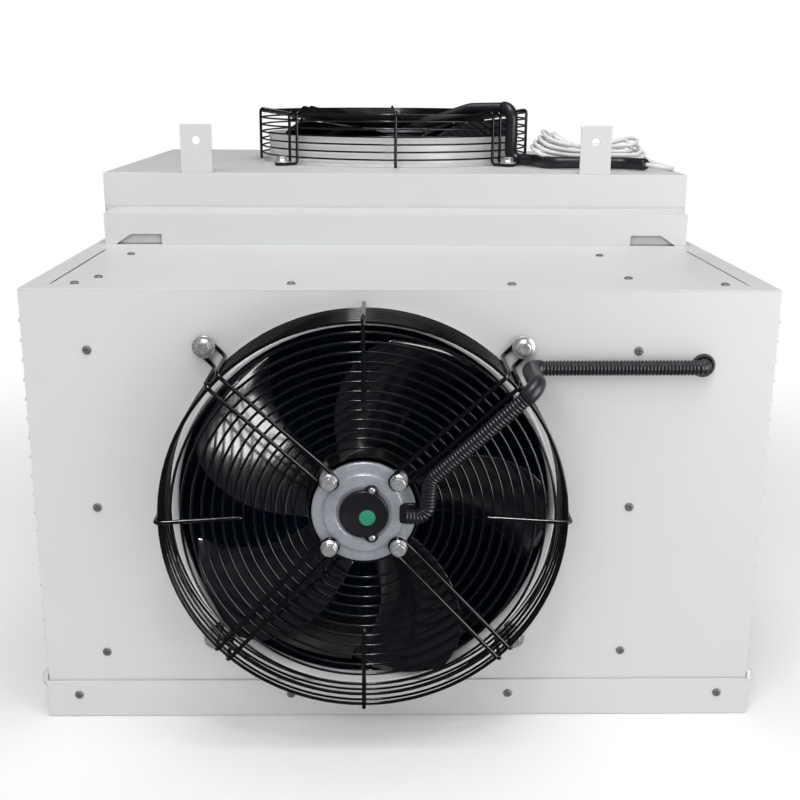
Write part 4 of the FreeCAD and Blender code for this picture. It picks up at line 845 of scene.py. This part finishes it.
face_run = conduit_set("front", 1, 1, [(*HOLE_PLACE, 10), (*HOLE_PLACE, -7.5)])
fan_piece("ribbed_face_conduit", [ribbed(face_run, [7.6])], "black_conduit", ("face_conduit",),
          fans=("front",))
DECK_CORNERS = ((189.5, 135.5), (202, 92), (300, 85), (322, 60))
deck_run = conduit_set("deck", -1, 7, [(x, y - DECK_FAN_BACK, RUN_HEIGHT) for x, y in DECK_CORNERS])
piece("deck_conduit_tube", seated([sleeve(deck_run, [23, 23, 23], 7.5)], "deck"), "black_conduit",
      stands_for=["deck_conduit"])
grommet = turned([(8.4, 0), (11.5, 0), (11.5, 1.0), (11.0, 1.8), (10.2, 2.2), (9.4, 2.1), (8.6, 1.6),
                  (8.4, 1.0)], 40)
piece("hole_grommet", seated(moved([grommet], (*HOLE_PLACE, 0)), "front"), "black_rubber",
      stands_for=["conduit_grommet"])

# %% [markdown]
# ## The sheet metal casing
# The casing is folded from 1.5 mm sheet. The CAD panels have the right shape, so copies of them are merged,
# their coplanar triangles are joined, and a narrow Bevel modifier rounds each edge as folding and
# punching do. The fan holes are many-sided in the CAD model, so their corners are moved out under the
# foot of the round collar. The pipes and the compressor get a wide bevel and smooth shading.

# %% Dressed panels
HOLES = {"front": ((FAN_X, 0, FAN_HEIGHT), (1, 0, 1)), "deck": ((0, DECK_FAN_BACK, 0), (1, 1, 0))}
HOLE_FROM = 170.0
HOLE_TO = 180.0
HOLE_RADIUS = 181.0
SHEET_EDGE = 0.45
LID_EDGE = 0.6
PIPE_EDGE = 1.6
SHELL_EDGE = 3.0
SMOOTH_FROM = 1.0
FOLD_ANGLE = 20


def widen_hole(mesh, fan):
    """Moves the points of a fan's hole, which lie between two radii, out to one radius. Each hole has its
    middle and the directions across it."""
    middle, across = [np.array(value) for value in HOLES[fan]]
    points = np.zeros(len(mesh.vertices) * 3)
    mesh.vertices.foreach_get("co", points)
    points = points.reshape(-1, 3)
    offset = (points - middle * MM) * across
    distance = np.linalg.norm(offset, axis=1, keepdims=True)
    on_rim = (distance > HOLE_FROM * MM) & (distance < HOLE_TO * MM)
    pushed = points + offset / np.maximum(distance, 1e-6) * (HOLE_RADIUS * MM - distance)
    mesh.vertices.foreach_set("co", np.where(on_rim, pushed, points).ravel())


def dressed(node, width, segments=2, fan=None):
    """A merged copy of a CAD node with rounded edges, and shaded smooth where these are wide."""
    source = frame["nodes"][node]
    mesh = source.data.copy()
    shape = bmesh.new()
    shape.from_mesh(mesh)
    bmesh.ops.remove_doubles(shape, verts=shape.verts, dist=1e-5)
    bmesh.ops.dissolve_limit(shape, angle_limit=0.01, verts=shape.verts, edges=shape.edges)
    shape.to_mesh(mesh)
    shape.free()
    if fan:
        widen_hole(mesh, fan)
    smooth = width > SMOOTH_FROM
    mesh.polygons.foreach_set("use_smooth", np.full(len(mesh.polygons), smooth))
    made = bpy.data.objects.new(node + "_dressed", mesh)
    bpy.context.scene.collection.objects.link(made)
    bevel = made.modifiers.new("edges", "BEVEL")
    bevel.width = width * MM
    bevel.segments = segments
    bevel.limit_method = "ANGLE"
    bevel.angle_limit = math.radians(FOLD_ANGLE)
    bevel.harden_normals = smooth
    bevel.use_clamp_overlap = False
    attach(made, source["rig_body"])
    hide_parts(node)
    return made


for name in ("top_cover", "drip_tray", "warm_side_left", "warm_side_right", "rear_panel", "bridge_cover",
             "wall_ear_left", "wall_ear_right", "cold_side_left", "cold_side_right", "control_box",
             "coil_end_plate_left", "coil_end_plate_right", "condenser_end_plate_left",
             "condenser_end_plate_right"):
    dressed(name, SHEET_EDGE)
dressed("front_panel", SHEET_EDGE, fan="front")
dressed("deck_lid", LID_EDGE, fan="deck")
for name in ("suction_pipe", "liquid_pipe", "discharge_pipes", "evaporator_return_bends",
             "condenser_return_bends"):
    dressed(name, PIPE_EDGE, 3)
for name in ("compressor", "filter_drier", "compressor_feet"):
    dressed(name, SHELL_EDGE, 4)

NOTCH_MIDDLE = (307.0, -58.5, 455.0)


def notch_light_strip():
    """A grey strip of painted light for a notch: 62 by 6 by 15 mm, a rounded section along X, drawn in at
    both ends.
    """
    steps = 24
    across = flattened(np.cos(around(steps)), 0.3) * 3.0
    upwards = flattened(np.sin(around(steps)), 0.3) * 7.5
    along = np.array([-31.0, -31.0, -30.3, 30.3, 31.0, 31.0])[:, None]
    drawn = np.array([0.0, 0.85, 1.0, 1.0, 0.85, 0.0])[:, None]
    points = np.stack(np.broadcast_arrays(along, across * drawn, upwards * drawn), -1)
    return [(points.reshape(-1, 3), quads(len(along), steps, False, True))]


# Grey strips in both notches: painted light for the lit inside seen through each notch.
light_strips = moved(notch_light_strip(), NOTCH_MIDDLE) + moved(notch_light_strip(), (-NOTCH_MIDDLE[0], *NOTCH_MIDDLE[1:]))
piece("notch_light_strips", light_strips, "black_rubber", finish="notch_painted_light")

# %% [markdown]
# ## Screws
# Pan-head screws with a cross recess hold the panels. A head is a dome worked out on a polar grid, and the
# recess is sunk where the point lies near one of two crossing lines. All screws of one CAD node are one
# mesh.

# %% Screws
SCREW_HEAD = 4.4
COLD_TOP = 447
WARM_SIDE = 360
WARM_BACK = 500


def pan_head(radius):
    """Height over radius r: a dome of 0.6 radii, sunk by the cross within 0.55 radii of the middle."""
    rows, steps = 12, 32
    r = np.concatenate([[1.0, 1.0], np.linspace(0.97, 0.0, rows)])[:, None] * radius
    angle = around(steps) + np.pi / steps
    x, y = r * np.cos(angle), r * np.sin(angle)
    dome = 0.6 * radius * np.sqrt(np.clip(1 - (r / radius) ** 2.6, 0, 1)) + 0 * angle
    cross = (np.minimum(np.abs(x), np.abs(y)) < 0.13 * radius) & (r < 0.56 * radius)
    height = dome - 0.32 * radius * cross
    height[0] = 0
    height[1] = 0.12 * radius
    return np.stack([x, y, height], -1).reshape(-1, 3), quads(rows + 2, steps, False, True)


def facing(parts, direction):
    """Parts whose Z is turned to a direction, with a fixed sideways axis."""
    ahead = np.array(direction, float)
    side = np.cross((0, 0, 1), ahead) if abs(ahead[2]) < 0.5 else np.array([1.0, 0, 0])
    side = side / np.linalg.norm(side)
    return [(points @ np.array([side, np.cross(ahead, side), ahead]), faces) for points, faces in parts]


def screws(places, direction):
    """Pan heads at places, pointing along a direction."""
    head = facing([pan_head(SCREW_HEAD)], direction)
    return [part for spot in places for part in moved(head, spot)]


TRAY_SCREWS = (-330.0, -112.0, 112.0, 330.0)
PLATE_HALF = 263.0
PLATE_X = (FAN_X - PLATE_HALF, FAN_X + PLATE_HALF)
cold = screws([(x, FACE_Y - 2.3, 24.5) for x in TRAY_SCREWS], (0, -1, 0))
cold += screws([(x, FACE_Y, z) for x in PLATE_X for z in (72.0, 229.0, 388.0)], (0, -1, 0))
cold += screws([(0.95 * x, FACE_Y + 28, COLD_TOP) for x in TRAY_SCREWS], (0, 0, 1))
cold += screws([(x, FACE_Y + y, COLD_TOP) for x in PLATE_X for y in (64.0, 220.0)], (0, 0, 1))
piece("cold_screw_heads", cold, "zinc_screw", stands_for=["cold_casing_screws"], finish="dull_zinc")
warm = []
for side in (1, -1):
    warm += screws([(side * 347, -48.75, 474.75)], (side, 0, 0))
    warm += screws([(side * WARM_SIDE, y, z) for y in (40, 250, 460) for z in (15, 475)], (side, 0, 0))
    warm += screws([(side * 330, WARM_BACK, z) for z in (72.9, 243, 437.4)], (0, 1, 0))
    warm += screws([(side * 245 + shift, 20.4, DECK + 3) for shift in (-9.5, 9.5)], (0, 0, 1))
piece("warm_screw_heads", warm, "zinc_screw", stands_for=["warm_casing_screws"], finish="dull_zinc")


def thumb_knob():
    """A knob whose rim has 20 soft flutes: the radius swings by 0.7 mm with the angle."""
    steps = 120
    angle = around(steps)
    reach = np.array([9.0, 9.0, 8.9, 8.3, 6.2, 5.6, 5.0, 0.0])[:, None]
    height = np.array([0.0, 0.6, 3.8, 4.6, 6.6, 7.0, 6.6, 6.5])[:, None]
    fluted = (height > 0.3) & (height < 4.7)
    radius = reach - 0.35 * (1 - np.cos(20 * angle)) * fluted
    return polar(radius, angle, height).reshape(-1, 3), quads(len(reach), steps, False, True)


knobs = []
for side in (1, -1):
    knobs += moved(facing([thumb_knob()], (side, 0, 0)), (side * 362.3, FACE_Y + 12, 37))
piece("tray_knobs", knobs, "white_plastic", stands_for=["tray_thumb_screws"])

# %% [markdown]
# ## Coils
# Both coils are packs of thin aluminium fins. Each fin is a zigzag strip of foil, extruded upwards, and the
# pack repeats it along X. A few dozen faces for each fin keep the pack light.

# %% Fin packs
FIN_PITCH = 3.2
FIN_THICKNESS = 0.4
FIN_LINES = 9
FOLD = 0.7


def fin_pack(node):
    """Fins at even distances along X inside the node's box, each folded to and fro along its depth."""
    low, high = [np.array(corner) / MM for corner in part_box(node)]
    depth = np.linspace(low[1], high[1], FIN_LINES)
    fold = FOLD * (np.arange(FIN_LINES) % 2 - 0.5)
    outline_x = np.concatenate([fold - FIN_THICKNESS / 2, (fold + FIN_THICKNESS / 2)[::-1]])
    outline_y = np.concatenate([depth, depth[::-1]])
    count = len(outline_x)
    columns = np.stack([np.stack([outline_x, outline_y, np.full(count, z)], 1) for z in (low[2], high[2])])
    places = np.arange(low[0] + 1, high[0] - 1, FIN_PITCH)
    points = columns[None] + np.stack([places, 0 * places, 0 * places], 1)[:, None, None]
    sides = quads(2, count, False, True)[:, ::-1]
    strip = np.arange(FIN_LINES - 1)
    lid = np.stack([strip, strip + 1, count - 2 - strip, count - 1 - strip], 1)
    faces = np.concatenate([sides, lid, lid[:, ::-1] + count])
    every = faces[None] + (np.arange(len(places)) * 2 * count)[:, None, None]
    return [(points.reshape(-1, 3), every.reshape(-1, 4))]


for coil in ("evaporator", "condenser"):
    block = coil + "_fin_block"
    piece(coil + "_fins", fin_pack(block), "coil_fins", stands_for=[block], flat=True)

# %% [markdown]
# ## Floor, background and light
# The unit stands on a plain pale floor. Near the unit the floor is a matt white that takes its shadow, and
# further out it fades into pure white, as the background is. The lamps are large soft panels, so that the
# white casing keeps its tone. Two more panels light nothing and are seen in reflections alone: a long strip
# above and a card on the right, which give the blades and the black wires their highlights.

# %% Floor and world
FLOOR_DROP = 0.0005
FADE_FROM = 0.5
FADE_TO = 1.4
SKY_LIGHT = 0.42
SKY_MIRRORED = 0.08
SKY_SEEN = 1.0


def floor_finish():
    """Matt white near the middle, fading with the distance into the white that the camera alone sees."""
    material = bpy.data.materials.new("floor")
    material.use_nodes = True
    tree = material.node_tree
    shade = Shade(tree)
    shader = tree.nodes["Principled BSDF"]
    shader.inputs["Roughness"].default_value = 0.9
    shader.inputs["Base Color"].default_value = (0.9, 0.9, 0.9, 1)
    far = shade.node("ShaderNodeVectorMath", {"operation": "LENGTH"}, {0: place(shade)}, 1)
    light = shade.node("ShaderNodeEmission", sockets={"Strength": 1.0})
    faded = shade.node("ShaderNodeMapRange", {"interpolation_type": "SMOOTHSTEP"},
                       {0: far, 1: FADE_FROM, 2: FADE_TO})
    seen = shade.node("ShaderNodeLightPath", output="Is Camera Ray")
    matt = Shade(tree, shader.outputs[0])
    mixed = shade.node("ShaderNodeMixShader", sockets={0: faded * seen, 1: matt, 2: light})
    tree.links.new(mixed.socket, tree.nodes["Material Output"].inputs["Surface"])
    return material


def floor():
    """A flat disc of rings under the unit."""
    steps = 48
    radius = np.array([0, 1.0, 2.0, 4.0, 9.0])[:, None]
    points = polar(radius, around(steps), -FLOOR_DROP).reshape(-1, 3)
    faces = quads(len(radius), steps, False, True)[:, ::-1]
    mesh = bpy.data.meshes.new("floor")
    mesh.from_pydata(points.tolist(), [], faces.tolist())
    made = bpy.data.objects.new("floor", mesh)
    made.data.materials.append(floor_finish())
    made.visible_glossy = False
    bpy.context.scene.collection.objects.link(made)


floor()
world = bpy.data.worlds.new("studio")
bpy.context.scene.world = world
world.use_nodes = True
world.node_tree.nodes.clear()
air = Shade(world.node_tree)
seen = air.node("ShaderNodeLightPath", output="Is Camera Ray")
mirrored = air.node("ShaderNodeLightPath", output="Is Glossy Ray")
soft, faint, white = [
    air.node("ShaderNodeBackground", sockets={"Color": (1, 1, 1, 1), "Strength": strength})
    for strength in (SKY_LIGHT, SKY_MIRRORED, SKY_SEEN)]
sky = air.node("ShaderNodeMixShader", sockets={0: mirrored, 1: soft, 2: faint})
sky = air.node("ShaderNodeMixShader", sockets={0: seen, 1: sky, 2: white})
air.feed(air.tree.nodes.new("ShaderNodeOutputWorld").inputs["Surface"], sky)

# %% Lamps


def lamp(name, spot, target, size, power, lights=True, mirrored=True, tall=1):
    """A soft panel, tall times as high as wide, that can be left out of the light or of the reflections."""
    data = bpy.data.lights.new(name, "AREA")
    data.shape = "RECTANGLE"
    data.size = size
    data.size_y = size * tall
    data.energy = power
    made = bpy.data.objects.new(name, data)
    turn = (Vector(target) - Vector(spot)).to_track_quat("-Z", "Y")
    made.matrix_world = Matrix.Translation(spot) @ turn.to_matrix().to_4x4()
    made.visible_diffuse = lights
    made.visible_glossy = mirrored
    bpy.context.scene.collection.objects.link(made)


lamp("key", (-1.2, -2.6, 2.4), (0, 0, 0.25), 1.5, 34, mirrored=False)
lamp("fill", (2.1, -2.2, 0.6), (0, 0, 0.3), 1.1, 16, mirrored=False)
lamp("top", (0.2, -0.6, 2.9), (0, 0, 0.4), 1.6, 31)
lamp("window", (0.0, -1.9, 3.3), (0, 0, 0.3), 0.3, 14, mirrored=False)
lamp("strip", (-0.2, -1.45, 3.3), (-0.03, -0.37, 0.24), 0.26, 60, lights=False, tall=3)
lamp("card", (1.09, -1.02, 0.46), (-0.04, -0.37, 0.24), 0.9, 21, lights=False)
bpy.context.scene.view_settings.view_transform = "Standard"
